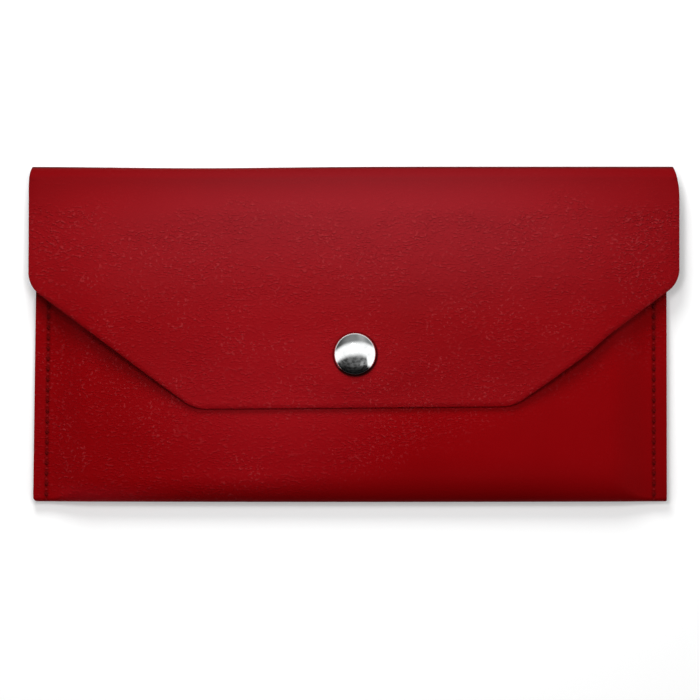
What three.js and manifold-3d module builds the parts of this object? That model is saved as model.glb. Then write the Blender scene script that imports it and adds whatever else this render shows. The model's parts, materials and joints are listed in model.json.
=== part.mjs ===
// Cash envelope wallet: one sheet of thin leather folded into a pocket that is sewn at both sides,
// a shaped flap that turns over from the top fold, and a ring-spring snap that closes it.
// Millimetres. The wallet lies on its back: X across, +Y towards the fold, +Z up through the snap.

import * as THREE from 'three';
import Module from 'manifold-3d';

const wasm = await Module();
wasm.setup();

// Plan sizes
const PLAN_HEIGHT = 98.5;
const FOLD_WIDTH = 187.9;
const FLAP_WIDTH = 191.2;
const FLAP_FLARE_LENGTH = 9;
const FLAP_SIDE_LENGTH = 35.3;
const FLAP_LENGTH = 70.9;
const FLAP_TIP_WIDTH = 93.8;
const FLAP_SIDE_CORNER_RADIUS = 8;
const FLAP_TIP_CORNER_RADIUS = 11;
const POCKET_MOUTH_WIDTH = 185.2;
const POCKET_BASE_WIDTH = 185.9;
const POCKET_CORNER_RADIUS = 2;
const MOUTH_DROP = 15;

// Sheet and folds
const LEATHER_THICKNESS = 1.2;
const FOLD_RADIUS = 3.6;
const FOLD_SPLIT_GAP = 0.1;
const POCKET_DEPTH = 5.2;
const BASE_ROLL_TIP_RADIUS = 2.4;

// Side seams
const SEAM_INSET = 3.7;
const SEAM_GAP = 0.25;
const SEAM_LIFT = 1;
const SIDE_TAPER = 14;
const STITCH_PITCH = 3.09;
const STITCH_TOP_MARGIN = 1.6;
const STITCH_BASE_MARGIN = 2.2;
const THREAD_RADIUS = 0.35;
const THREAD_CREST = 0.2;
const THREAD_SEAT_GAP = 0.05;

// Lie of the flap over the pocket
const FLAP_RISE_LENGTH = 36;
const FLAP_MOUTH_CLEARANCE = 0.45;
const FLAP_CROWN_OVERLAP = 3.5;
const FLAP_TIP_HOVER = 0.8;

// Snap
const SNAP_DROP = 55.4;
const SNAP_STACK = 2.6;
const SNAP_SEAT_GAP = 0.05;
const SNAP_RUNNING_GAP = 0.3;
const SNAP_FLAT_RADIUS = 7;
const CAP_DIAMETER = 12.5;
const CAP_DOME_HEIGHT = 2.7;
const CAP_EDGE_RADIUS = 0.45;
const CAP_SHELL = 0.4;
const POST_RADIUS = 1.6;
const POST_BORE_RADIUS = 1.1;
const POST_FLARE_RADIUS = 2.3;
const POST_FLARE_THICKNESS = 0.3;
const SOCKET_FLANGE_RADIUS = 5.5;
const SOCKET_SHEET = 0.4;
const SOCKET_LIP = 0.15;
const SOCKET_CLEARANCE = 0.15;
const SPRING_WIRE_RADIUS = 0.25;
const SPRING_SLOT_ANGLE = 0.5;
const STUD_FLANGE_RADIUS = 4.6;
const STUD_FLANGE_THICKNESS = 0.4;
const STUD_HEAD_RADIUS = 2.4;
const STUD_NECK_RADIUS = 2.05;
const EYELET_FLANGE_RADIUS = 4.2;
const EYELET_FLANGE_THICKNESS = 0.4;
const EYELET_BARREL_RADIUS = 1.3;
const EYELET_BORE_RADIUS = 0.9;
const SHEET_EDGE_ROUND = 0.2;

// Faceting
const FOLD_STEPS = 6;
const LIFT_STEPS = 5;
const ROLL_STEPS = 10;
const FRONT_STEPS = 3;
const CORNER_STEPS = 6;
const FLARE_STEPS = 4;
const TAPER_COLUMNS = 8;
const FLAP_COLUMNS = 24;
const FLAP_ROW_STEP = 5;
const FLAP_ROW_LEAST = 0.02;
const LATHE_SEGMENTS = 28;
const THREAD_SIDES = 5;
const THREAD_STEPS_PER_STITCH = 4;
const SPRING_SIDES = 6;
const SPRING_STEPS = 22;

// Heights and places that follow from the sizes above
const TOP_Y = PLAN_HEIGHT / 2;
const BASE_Y = -PLAN_HEIGHT / 2;
const FOLD_CENTRE_Y = TOP_Y - FOLD_RADIUS;
const MOUTH_Y = TOP_Y - MOUTH_DROP;
const FRONT_FACE_Z = 2 * LEATHER_THICKNESS + POCKET_DEPTH;
const FRONT_INNER_Z = FRONT_FACE_Z - LEATHER_THICKNESS;
const FLAP_BASE_Z = 2 * FOLD_RADIUS - LEATHER_THICKNESS;
const FLAP_SNAP_Z = FRONT_FACE_Z + SNAP_STACK;
const FLAP_FACE_Z = FLAP_SNAP_Z + LEATHER_THICKNESS;
const SNAP_Y = TOP_Y - SNAP_DROP;
const FLAP_FLAT_END = SNAP_DROP + SNAP_FLAT_RADIUS;
const CROWN_X = POCKET_MOUTH_WIDTH / 2 - SEAM_INSET - SIDE_TAPER - FLAP_CROWN_OVERLAP;

// Snap heights and radii, worked out from the two leather faces that it joins
const CAP_SEAT_Z = FLAP_FACE_Z + SNAP_SEAT_GAP;
const SOCKET_TOP_Z = FLAP_SNAP_Z - SNAP_SEAT_GAP;
const SOCKET_FLOOR_Z = SOCKET_TOP_Z - SOCKET_SHEET;
const POST_END_Z = SOCKET_FLOOR_Z - SNAP_SEAT_GAP;
const FLARE_END_Z = POST_END_Z - POST_FLARE_THICKNESS;
const STUD_TOP_Z = FLARE_END_Z - SOCKET_CLEARANCE;
const STUD_SEAT_Z = FRONT_FACE_Z + SNAP_SEAT_GAP;
const STUD_FLANGE_Z = STUD_SEAT_Z + STUD_FLANGE_THICKNESS;
const SOCKET_BASE_Z = STUD_FLANGE_Z + SOCKET_CLEARANCE;
const LIP_TOP_Z = SOCKET_BASE_Z + SOCKET_LIP;
const SOCKET_MOUTH_RADIUS = STUD_HEAD_RADIUS + SNAP_RUNNING_GAP;
const SPRING_RING_RADIUS = SOCKET_MOUTH_RADIUS + SNAP_SEAT_GAP + SPRING_WIRE_RADIUS;
const GROOVE_RADIUS = SPRING_RING_RADIUS + SPRING_WIRE_RADIUS + SNAP_RUNNING_GAP;
const HOUSING_RADIUS = GROOVE_RADIUS + SOCKET_SHEET;

const red = { color: 0x8a1018, roughness: 0.55, metalness: 0 };
const thread = { color: 0x5a0a10, roughness: 0.8, metalness: 0 };
const nickel = { color: 0xc9cacc, roughness: 0.18, metalness: 1 };
const brass = { color: 0xb8a878, roughness: 0.35, metalness: 1 };

function mix(a, b, share) {
  return a + (b - a) * share;
}

function clamp01(value) {
  return Math.min(1, Math.max(0, value));
}

function ease(value) {
  const s = clamp01(value);
  return s * s * (3 - 2 * s);
}

// 1 on the full bulge, 0 at the end of the taper, with no kink at either end
function taper(distance, length) {
  return 0.5 * (1 + Math.cos(Math.PI * clamp01(distance / length)));
}

// A curve between two heights that leaves and arrives at given slopes
function hermite(from, to, slopeFrom, slopeTo, length, share) {
  const s = clamp01(share);
  const leave = s * (1 - s) ** 2 * length * slopeFrom;
  const arrive = s * s * (s - 1) * length * slopeTo;
  return mix(from, to, ease(s)) + leave + arrive;
}

// Rounds each inner corner of an outline of [half width, distance below the fold, radius] points
function roundedOutline(corners) {
  const outline = [new THREE.Vector2(corners[0][0], corners[0][1])];
  for (let k = 1; k < corners.length - 1; k += 1) {
    const corner = new THREE.Vector2(corners[k][0], corners[k][1]);
    const radius = corners[k][2];
    const before = new THREE.Vector2(corners[k - 1][0], corners[k - 1][1]).sub(corner).normalize();
    const after = new THREE.Vector2(corners[k + 1][0], corners[k + 1][1]).sub(corner).normalize();
    const halfAngle = Math.acos(before.dot(after)) / 2;
    const reach = radius / Math.tan(halfAngle);
    const start = corner.clone().addScaledVector(before, reach);
    const end = corner.clone().addScaledVector(after, reach);
    const middle = before.clone().add(after).normalize();
    const centre = corner.clone().addScaledVector(middle, radius / Math.sin(halfAngle));
    const from = start.clone().sub(centre).angle();
    let sweep = end.clone().sub(centre).angle() - from;
    sweep = Math.atan2(Math.sin(sweep), Math.cos(sweep));
    for (let step = 0; step <= CORNER_STEPS; step += 1) {
      const angle = from + (sweep * step) / CORNER_STEPS;
      outline.push(new THREE.Vector2(Math.cos(angle), Math.sin(angle)).multiplyScalar(radius).add(centre));
    }
  }
  return outline;
}

// A closed solid from two grids of points, the outer face and the inner face of one bent sheet
function sheetSolid(outer, inner) {
  const rows = outer.length;
  const columns = outer[0].length;
  const positions = [];
  for (const face of [outer, inner]) {
    for (const row of face) {
      for (const point of row) {
        positions.push(point.x, point.y, point.z);
      }
    }
  }
  const index = [];
  const at = (face, i, j) => face * rows * columns + i * columns + j;
  const quad = (a, b, c, d) => index.push(a, b, c, a, c, d);
  for (let i = 0; i < rows - 1; i += 1) {
    for (let j = 0; j < columns - 1; j += 1) {
      quad(at(0, i, j), at(0, i, j + 1), at(0, i + 1, j + 1), at(0, i + 1, j));
      quad(at(1, i, j), at(1, i + 1, j), at(1, i + 1, j + 1), at(1, i, j + 1));
    }
  }
  for (let i = 0; i < rows - 1; i += 1) {
    quad(at(0, i, 0), at(0, i + 1, 0), at(1, i + 1, 0), at(1, i, 0));
    quad(at(0, i + 1, columns - 1), at(0, i, columns - 1), at(1, i, columns - 1), at(1, i + 1, columns - 1));
  }
  for (let j = 0; j < columns - 1; j += 1) {
    quad(at(0, 0, j + 1), at(0, 0, j), at(1, 0, j), at(1, 0, j + 1));
    quad(at(0, rows - 1, j), at(0, rows - 1, j + 1), at(1, rows - 1, j + 1), at(1, rows - 1, j));
  }
  return closedGeometry(positions, index);
}

function signedVolume(positions, index) {
  const a = new THREE.Vector3();
  const b = new THREE.Vector3();
  const c = new THREE.Vector3();
  let volume = 0;
  for (let k = 0; k < index.length; k += 3) {
    a.fromArray(positions, 3 * index[k]);
    b.fromArray(positions, 3 * index[k + 1]);
    c.fromArray(positions, 3 * index[k + 2]);
    volume += a.dot(b.cross(c)) / 6;
  }
  return volume;
}

// A geometry whose faces point out, whichever way round its grid was made
function closedGeometry(positions, index) {
  if (signedVolume(positions, index) < 0) {
    for (let k = 0; k < index.length; k += 3) {
      [index[k + 1], index[k + 2]] = [index[k + 2], index[k + 1]];
    }
  }
  const geometry = new THREE.BufferGeometry();
  geometry.setAttribute('position', new THREE.Float32BufferAttribute(positions, 3));
  geometry.setIndex(index);
  return geometry;
}

// A closed tube from rings of points, with flat ends
function tubeSolid(positions, steps, sides) {
  const index = [];
  for (let step = 0; step < steps; step += 1) {
    for (let k = 0; k < sides; k += 1) {
      const a = step * sides + k;
      const b = step * sides + ((k + 1) % sides);
      index.push(a, b, b + sides, a, b + sides, a + sides);
    }
  }
  const last = steps * sides;
  for (let k = 1; k < sides - 1; k += 1) {
    index.push(0, k + 1, k);
    index.push(last, last + k, last + k + 1);
  }
  return closedGeometry(positions, index);
}

function toManifold(geometry) {
  return new wasm.Manifold(new wasm.Mesh({
    numProp: 3,
    vertProperties: new Float32Array(geometry.getAttribute('position').array),
    triVerts: new Uint32Array(geometry.getIndex().array),
  }));
}

function fromManifold(solid) {
  const mesh = solid.getMesh();
  const geometry = new THREE.BufferGeometry();
  geometry.setAttribute('position', new THREE.BufferAttribute(new Float32Array(mesh.vertProperties), 3));
  geometry.setIndex(new THREE.BufferAttribute(new Uint32Array(mesh.triVerts), 1));
  return geometry;
}

// A solid of revolution about the snap's axis from a closed profile of [radius, height] points
function revolved(profile) {
  const count = profile.length;
  const onAxis = (point) => point[0] === 0;
  const positions = [];
  const first = [];
  for (const [radius, height] of profile) {
    first.push(positions.length / 3);
    const copies = radius === 0 ? 1 : LATHE_SEGMENTS;
    for (let s = 0; s < copies; s += 1) {
      const angle = (2 * Math.PI * s) / LATHE_SEGMENTS;
      positions.push(radius * Math.cos(angle), SNAP_Y + radius * Math.sin(angle), height);
    }
  }
  const vertex = (k, s) => first[k] + (onAxis(profile[k]) ? 0 : s % LATHE_SEGMENTS);
  const index = [];
  for (let k = 0; k < count; k += 1) {
    const next = (k + 1) % count;
    for (let s = 0; s < LATHE_SEGMENTS; s += 1) {
      if (!onAxis(profile[next])) {
        index.push(vertex(k, s), vertex(next, s), vertex(next, s + 1));
      }
      if (!onAxis(profile[k])) {
        index.push(vertex(k, s), vertex(next, s + 1), vertex(k, s + 1));
      }
    }
  }
  return closedGeometry(positions, index);
}

// Points of an arc in a profile, from one angle to another, both in quarter turns
function profileArc(centreRadius, centreHeight, radius, from, to, steps, rise = radius) {
  const points = [];
  for (let step = 0; step <= steps; step += 1) {
    const angle = (mix(from, to, step / steps) * Math.PI) / 2;
    points.push([centreRadius + radius * Math.cos(angle), centreHeight + rise * Math.sin(angle)]);
  }
  return points;
}

function pocketHalfWidth(below) {
  const mouthShare = clamp01(below / MOUTH_DROP);
  const baseShare = clamp01((below - MOUTH_DROP) / (PLAN_HEIGHT - MOUTH_DROP));
  const straight = mix(mix(FOLD_WIDTH, POCKET_MOUTH_WIDTH, mouthShare), POCKET_BASE_WIDTH, baseShare) / 2;
  const intoCorner = Math.max(0, below - (PLAN_HEIGHT - POCKET_CORNER_RADIUS));
  const corner = POCKET_CORNER_RADIUS - Math.sqrt(Math.max(0, POCKET_CORNER_RADIUS ** 2 - intoCorner ** 2));
  return straight - corner;
}

// How full the pocket is at a place: 1 over the notes, 0 from the seam line outwards
function fullness(x, below) {
  const seamX = pocketHalfWidth(Math.min(below, PLAN_HEIGHT - POCKET_CORNER_RADIUS)) - SEAM_INSET;
  return taper(Math.abs(x) - (seamX - SIDE_TAPER), SIDE_TAPER);
}

function pocketGap(x, below) {
  return mix(SEAM_GAP, POCKET_DEPTH, fullness(x, below));
}

// The seam margins curl up off the table, so that the thread under them stays clear of it
function backLift(x, below) {
  const share = ease((below - FOLD_RADIUS) / (MOUTH_DROP - FOLD_RADIUS));
  return SEAM_LIFT * share * (1 - fullness(x, below));
}

function frontFace(x, below) {
  return backLift(x, below) + 2 * LEATHER_THICKNESS + pocketGap(x, below);
}

// Columns across a pocket row: few over the flat middle, many down the side taper
function pocketColumns(halfWidth) {
  const seamX = halfWidth - SEAM_INSET;
  const flatX = seamX - SIDE_TAPER;
  const positive = [flatX / 3, (2 * flatX) / 3];
  for (let k = 0; k <= TAPER_COLUMNS; k += 1) {
    positive.push(mix(flatX, seamX, k / TAPER_COLUMNS));
  }
  positive.push(halfWidth);
  return [...positive.map((x) => -x).reverse(), 0, ...positive];
}

// The reach of the base roll along the front grows with the pocket's thickness
function frontRollReach(halfThickness) {
  return Math.max(halfThickness, halfThickness ** 2 / BASE_ROLL_TIP_RADIUS);
}

function pocketRow(columns, pointAt) {
  const outer = [];
  const inner = [];
  for (const x of columns) {
    const [outerPoint, innerPoint] = pointAt(x);
    outer.push(new THREE.Vector3(x, ...outerPoint));
    inner.push(new THREE.Vector3(x, ...innerPoint));
  }
  return { outer, inner };
}

function foldRows() {
  const start = FOLD_SPLIT_GAP / 2 / FOLD_RADIUS;
  const innerRadius = FOLD_RADIUS - LEATHER_THICKNESS;
  const rows = [];
  for (let step = 0; step < FOLD_STEPS; step += 1) {
    const angle = mix(start, Math.PI / 2, step / FOLD_STEPS);
    const y = (radius) => FOLD_CENTRE_Y + radius * Math.cos(angle);
    const arc = (radius) => [y(radius), FOLD_RADIUS - radius * Math.sin(angle)];
    const below = FOLD_RADIUS * (1 - Math.cos(angle));
    rows.push(pocketRow(pocketColumns(pocketHalfWidth(below)), () => [arc(FOLD_RADIUS), arc(innerRadius)]));
  }
  return rows;
}

function backRows() {
  const rows = [];
  const backLength = PLAN_HEIGHT - 2 * FOLD_RADIUS;
  for (let step = 0; step <= LIFT_STEPS; step += 1) {
    const share = ((step / LIFT_STEPS) * (MOUTH_DROP - FOLD_RADIUS)) / backLength;
    const nominal = FOLD_RADIUS + share * backLength;
    const columns = pocketColumns(pocketHalfWidth(nominal));
    rows.push(pocketRow(columns, (x) => {
      const halfThickness = LEATHER_THICKNESS + pocketGap(x, PLAN_HEIGHT) / 2;
      const y = mix(FOLD_CENTRE_Y, BASE_Y + halfThickness, share);
      const z = backLift(x, TOP_Y - y);
      return [[y, z], [y, z + LEATHER_THICKNESS]];
    }));
  }
  return rows;
}

function rollRows() {
  const rows = [];
  const sideHalf = LEATHER_THICKNESS + SEAM_GAP / 2;
  for (let step = 0; step <= ROLL_STEPS; step += 1) {
    const angle = mix(-Math.PI / 2, Math.PI / 2, step / ROLL_STEPS);
    const along = 1 - Math.cos(angle);
    const columns = pocketColumns(pocketHalfWidth(PLAN_HEIGHT - sideHalf * along));
    rows.push(pocketRow(columns, (x) => {
      const halfGap = pocketGap(x, PLAN_HEIGHT) / 2;
      const half = LEATHER_THICKNESS + halfGap;
      const reach = angle < 0 ? half : frontRollReach(half);
      const centreZ = backLift(x, PLAN_HEIGHT) + half;
      const outerPoint = [BASE_Y + reach * along, centreZ + half * Math.sin(angle)];
      const innerReach = reach - LEATHER_THICKNESS;
      const innerY = BASE_Y + LEATHER_THICKNESS + innerReach * along;
      return [outerPoint, [innerY, centreZ + halfGap * Math.sin(angle)]];
    }));
  }
  return rows;
}

function frontRows() {
  const rows = [];
  for (let step = 1; step <= FRONT_STEPS; step += 1) {
    const share = step / FRONT_STEPS;
    const nominal = mix(PLAN_HEIGHT - FOLD_RADIUS, MOUTH_DROP, share);
    const columns = pocketColumns(pocketHalfWidth(nominal));
    rows.push(pocketRow(columns, (x) => {
      const half = LEATHER_THICKNESS + pocketGap(x, PLAN_HEIGHT) / 2;
      const y = mix(BASE_Y + frontRollReach(half), MOUTH_Y, share);
      const z = frontFace(x, TOP_Y - y);
      return [[y, z], [y, z - LEATHER_THICKNESS]];
    }));
  }
  return rows;
}

function punchHole(geometry, radius, lowZ, highZ) {
  const punch = revolved([[0, lowZ], [radius, lowZ], [radius, highZ], [0, highZ]]);
  return fromManifold(toManifold(geometry).subtract(toManifold(punch)));
}

function pocketLeather() {
  const rows = [...foldRows(), ...backRows(), ...rollRows(), ...frontRows()];
  const sheet = sheetSolid(rows.map((row) => row.outer), rows.map((row) => row.inner));
  const holeRadius = EYELET_BARREL_RADIUS + SNAP_RUNNING_GAP;
  return punchHole(sheet, holeRadius, FRONT_INNER_Z - LEATHER_THICKNESS, FRONT_FACE_Z + LEATHER_THICKNESS);
}

// Height of the flap's lower face: level with the fold at the sides, raised by the pocket and the
// snap in the middle, and drawn down towards the front panel along its tip
function flapUnderside(x, below) {
  const crown = taper(Math.abs(x) - CROWN_X, FLAP_WIDTH / 2 - CROWN_X);
  const overMouth = FRONT_FACE_Z + FLAP_MOUTH_CLEARANCE;
  const slope = (FLAP_SNAP_Z - FLAP_BASE_Z) / (FLAP_RISE_LENGTH - FOLD_RADIUS);
  const toMouth = MOUTH_DROP - FOLD_RADIUS;
  const toFull = FLAP_RISE_LENGTH - MOUTH_DROP;
  const height = below < MOUTH_DROP
    ? hermite(FLAP_BASE_Z, overMouth, 0, slope, toMouth, (below - FOLD_RADIUS) / toMouth)
    : hermite(overMouth, FLAP_SNAP_Z, slope, 0, toFull, (below - MOUTH_DROP) / toFull);
  const tipShare = clamp01((below - FLAP_FLAT_END) / (FLAP_LENGTH - FLAP_FLAT_END));
  const fall = (SNAP_STACK - FLAP_TIP_HOVER) * tipShare ** 2;
  return FLAP_BASE_Z + crown * (height - fall - FLAP_BASE_Z);
}

function flapOutline() {
  const flare = [];
  for (let step = 1; step <= FLARE_STEPS; step += 1) {
    const angle = (Math.PI / 2) * (step / FLARE_STEPS);
    const halfWidth = mix(FOLD_WIDTH, FLAP_WIDTH, Math.sin(angle)) / 2;
    flare.push(new THREE.Vector2(halfWidth, FLAP_FLARE_LENGTH * (1 - Math.cos(angle))));
  }
  const shaped = roundedOutline([
    [FLAP_WIDTH / 2, FLAP_FLARE_LENGTH],
    [FLAP_WIDTH / 2, FLAP_SIDE_LENGTH, FLAP_SIDE_CORNER_RADIUS],
    [FLAP_TIP_WIDTH / 2, FLAP_LENGTH, FLAP_TIP_CORNER_RADIUS],
    [0, FLAP_LENGTH],
  ]);
  return [new THREE.Vector2(FOLD_WIDTH / 2, 0), ...flare, ...shaped.slice(1)];
}

// The flap's half width at a distance below the fold, read off its rounded outline
function flapHalfWidth(outline, below) {
  for (let k = 1; k < outline.length; k += 1) {
    if (below <= outline[k].y) {
      const share = (below - outline[k - 1].y) / (outline[k].y - outline[k - 1].y);
      return mix(outline[k - 1].x, outline[k].x, share);
    }
  }
  return outline[outline.length - 1].x;
}

// Where the flap's rows lie below the fold: at its outline's points and evenly between them
function flapDistances(outline) {
  const all = outline.map((point) => point.y).filter((below) => below > FOLD_RADIUS);
  for (let below = FOLD_RADIUS; below < FLAP_LENGTH - FLAP_ROW_STEP / 2; below += FLAP_ROW_STEP) {
    all.push(below);
  }
  all.push(FLAP_FLAT_END);
  all.sort((a, b) => a - b);
  return all.filter((below, k) => k === 0 || below - all[k - 1] > FLAP_ROW_LEAST);
}

function flapLeather() {
  const outline = flapOutline();
  const outer = [];
  const inner = [];
  const across = (halfWidth, outerYZ, innerYZ) => {
    const outerRow = [];
    const innerRow = [];
    for (let k = 0; k <= FLAP_COLUMNS; k += 1) {
      const x = mix(-halfWidth, halfWidth, k / FLAP_COLUMNS);
      outerRow.push(new THREE.Vector3(x, ...outerYZ(x)));
      innerRow.push(new THREE.Vector3(x, ...innerYZ(x)));
    }
    outer.push(outerRow);
    inner.push(innerRow);
  };
  const start = FOLD_SPLIT_GAP / 2 / FOLD_RADIUS;
  for (let step = 0; step < FOLD_STEPS; step += 1) {
    const angle = mix(start, Math.PI / 2, step / FOLD_STEPS);
    const y = (radius) => FOLD_CENTRE_Y + radius * Math.cos(angle);
    const arc = (radius) => [y(radius), FOLD_RADIUS + radius * Math.sin(angle)];
    const below = FOLD_RADIUS * (1 - Math.cos(angle));
    across(flapHalfWidth(outline, below), () => arc(FOLD_RADIUS), () => arc(FOLD_RADIUS - LEATHER_THICKNESS));
  }
  for (const below of flapDistances(outline)) {
    const y = TOP_Y - below;
    const under = (x) => flapUnderside(x, below);
    across(flapHalfWidth(outline, below), (x) => [y, under(x) + LEATHER_THICKNESS], (x) => [y, under(x)]);
  }
  const holeRadius = POST_RADIUS + SNAP_RUNNING_GAP;
  const lowZ = FLAP_SNAP_Z - LEATHER_THICKNESS;
  return punchHole(sheetSolid(outer, inner), holeRadius, lowZ, FLAP_FACE_Z + LEATHER_THICKNESS);
}

// One run of thread along a side seam: it rises in a crest over each stitch and dips at each hole
function seamThread(side, faceZ, outward) {
  const top = MOUTH_DROP + STITCH_TOP_MARGIN;
  const run = PLAN_HEIGHT - STITCH_BASE_MARGIN - top;
  const stitches = Math.round(run / STITCH_PITCH);
  const steps = stitches * THREAD_STEPS_PER_STITCH;
  const positions = [];
  for (let step = 0; step <= steps; step += 1) {
    const below = top + (run * step) / steps;
    const x = side * (pocketHalfWidth(below) - SEAM_INSET);
    const crest = THREAD_CREST * Math.abs(Math.sin((Math.PI * step) / THREAD_STEPS_PER_STITCH));
    const z = faceZ(x, below) + outward * (THREAD_SEAT_GAP + THREAD_RADIUS + crest);
    for (let k = 0; k < THREAD_SIDES; k += 1) {
      const angle = (2 * Math.PI * k) / THREAD_SIDES;
      positions.push(x + THREAD_RADIUS * Math.cos(angle), TOP_Y - below, z + THREAD_RADIUS * Math.sin(angle));
    }
  }
  return tubeSolid(positions, steps, THREAD_SIDES);
}

// Pressed dome with a rolled edge, carried on a hollow post that is flared inside the socket
function snapCap() {
  const rim = CAP_DIAMETER / 2 - CAP_EDGE_RADIUS;
  const edgeZ = CAP_SEAT_Z + CAP_EDGE_RADIUS;
  const domeRise = CAP_DOME_HEIGHT - CAP_EDGE_RADIUS;
  const dome = profileArc(0, edgeZ, CAP_DIAMETER / 2, 1, 0.12, 9, domeRise);
  const edge = profileArc(rim, edgeZ, CAP_EDGE_RADIUS, 0, -1, 3);
  const hollow = profileArc(0, edgeZ, rim - CAP_SHELL, 0.05, 0.8, 5, domeRise - CAP_SHELL);
  const hollowTop = hollow[hollow.length - 1][1];
  dome[0] = [0, edgeZ + domeRise];
  return revolved([
    ...dome,
    ...edge,
    [rim - CAP_SHELL, CAP_SEAT_Z],
    ...hollow.filter((point) => point[0] > POST_RADIUS + SHEET_EDGE_ROUND),
    [POST_RADIUS, hollowTop],
    [POST_RADIUS, POST_END_Z],
    [POST_FLARE_RADIUS, POST_END_Z],
    [POST_FLARE_RADIUS, FLARE_END_Z],
    [POST_BORE_RADIUS, FLARE_END_Z],
    [POST_BORE_RADIUS, CAP_SEAT_Z],
    [0, CAP_SEAT_Z],
  ]);
}

// Flanged socket: a washer under the leather and a housing whose lip keeps the ring spring in
function snapSocket() {
  const round = SHEET_EDGE_ROUND;
  const boreRadius = POST_RADIUS + SNAP_SEAT_GAP;
  return revolved([
    [boreRadius, SOCKET_TOP_Z],
    [SOCKET_FLANGE_RADIUS - round, SOCKET_TOP_Z],
    [SOCKET_FLANGE_RADIUS, SOCKET_TOP_Z - round],
    [SOCKET_FLANGE_RADIUS - round, SOCKET_FLOOR_Z],
    [HOUSING_RADIUS + round, SOCKET_FLOOR_Z],
    [HOUSING_RADIUS, SOCKET_FLOOR_Z - round],
    [HOUSING_RADIUS, SOCKET_BASE_Z + round],
    [HOUSING_RADIUS - round, SOCKET_BASE_Z],
    [SOCKET_MOUTH_RADIUS + SOCKET_LIP, SOCKET_BASE_Z],
    [SOCKET_MOUTH_RADIUS, SOCKET_BASE_Z + SOCKET_LIP / 2],
    [SOCKET_MOUTH_RADIUS, LIP_TOP_Z],
    [GROOVE_RADIUS, LIP_TOP_Z],
    [GROOVE_RADIUS, SOCKET_FLOOR_Z],
    [boreRadius, SOCKET_FLOOR_Z],
  ]);
}

// Split ring of round wire that lies in the socket's groove, open by a narrow slot
function snapSpring() {
  const height = LIP_TOP_Z + SNAP_SEAT_GAP + SPRING_WIRE_RADIUS;
  const halfSlot = SPRING_SLOT_ANGLE / 2;
  const positions = [];
  for (let step = 0; step <= SPRING_STEPS; step += 1) {
    const angle = mix(halfSlot, 2 * Math.PI - halfSlot, step / SPRING_STEPS) - Math.PI / 2;
    for (let k = 0; k < SPRING_SIDES; k += 1) {
      const turn = (2 * Math.PI * k) / SPRING_SIDES;
      const radius = SPRING_RING_RADIUS + SPRING_WIRE_RADIUS * Math.cos(turn);
      const z = height + SPRING_WIRE_RADIUS * Math.sin(turn);
      positions.push(radius * Math.cos(angle), SNAP_Y + radius * Math.sin(angle), z);
    }
  }
  return tubeSolid(positions, SPRING_STEPS, SPRING_SIDES);
}

// Stud with a waisted neck under a rounded head, bored through for the eyelet's barrel
function snapStud() {
  const round = SHEET_EDGE_ROUND;
  const bore = EYELET_BARREL_RADIUS + SNAP_SEAT_GAP;
  const headHeight = STUD_TOP_Z - STUD_FLANGE_Z;
  return revolved([
    [bore, STUD_SEAT_Z],
    [STUD_FLANGE_RADIUS - round, STUD_SEAT_Z],
    [STUD_FLANGE_RADIUS, STUD_SEAT_Z + round],
    [STUD_FLANGE_RADIUS - round, STUD_FLANGE_Z],
    [STUD_NECK_RADIUS + round, STUD_FLANGE_Z],
    [STUD_NECK_RADIUS, STUD_FLANGE_Z + 0.1 * headHeight],
    [STUD_NECK_RADIUS, STUD_FLANGE_Z + 0.35 * headHeight],
    [STUD_HEAD_RADIUS, STUD_FLANGE_Z + 0.55 * headHeight],
    [STUD_HEAD_RADIUS, STUD_FLANGE_Z + 0.75 * headHeight],
    [STUD_HEAD_RADIUS - round, STUD_FLANGE_Z + 0.93 * headHeight],
    [STUD_HEAD_RADIUS - 2 * round, STUD_TOP_Z],
    [bore, STUD_TOP_Z],
  ]);
}

// Eyelet whose flange lies inside the pocket and whose barrel runs up through leather and stud
function snapStudEyelet() {
  const round = SHEET_EDGE_ROUND;
  const seat = FRONT_INNER_Z - SNAP_SEAT_GAP;
  const bottom = seat - EYELET_FLANGE_THICKNESS;
  return revolved([
    [EYELET_BORE_RADIUS, bottom],
    [EYELET_FLANGE_RADIUS - round, bottom],
    [EYELET_FLANGE_RADIUS, bottom + round],
    [EYELET_FLANGE_RADIUS - round, seat],
    [EYELET_BARREL_RADIUS, seat],
    [EYELET_BARREL_RADIUS, STUD_TOP_Z],
    [EYELET_BORE_RADIUS, STUD_TOP_Z],
  ]);
}

function part(name, geometry, finish) {
  const mesh = new THREE.Mesh(geometry, new THREE.MeshStandardMaterial(finish));
  mesh.name = name;
  return mesh;
}

const pocket = new THREE.Group();
pocket.add(
  part('pocket_leather', pocketLeather(), red),
  part('needle_thread_left', seamThread(-1, frontFace, 1), thread),
  part('needle_thread_right', seamThread(1, frontFace, 1), thread),
  part('bobbin_thread_left', seamThread(-1, backLift, -1), thread),
  part('bobbin_thread_right', seamThread(1, backLift, -1), thread),
  part('snap_stud', snapStud(), nickel),
  part('snap_stud_eyelet', snapStudEyelet(), brass),
);

const flap = new THREE.Group();
flap.add(
  part('flap_leather', flapLeather(), red),
  part('snap_cap', snapCap(), nickel),
  part('snap_socket', snapSocket(), brass),
  part('snap_spring', snapSpring(), nickel),
);

const wallet = new THREE.Group();
wallet.add(pocket, flap);

export default wallet;
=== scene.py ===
# %% [markdown]
# A leather cash envelope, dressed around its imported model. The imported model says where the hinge,
# the folds and the snap are. This file gives each piece its modelled surface and its finish.
# The wallet lies on its back: X across, +Y towards the top fold, +Z up out of the front.

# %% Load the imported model
import json
import math

import bmesh
import bpy
import numpy as np
from mathutils import Matrix, Vector, noise


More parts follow.
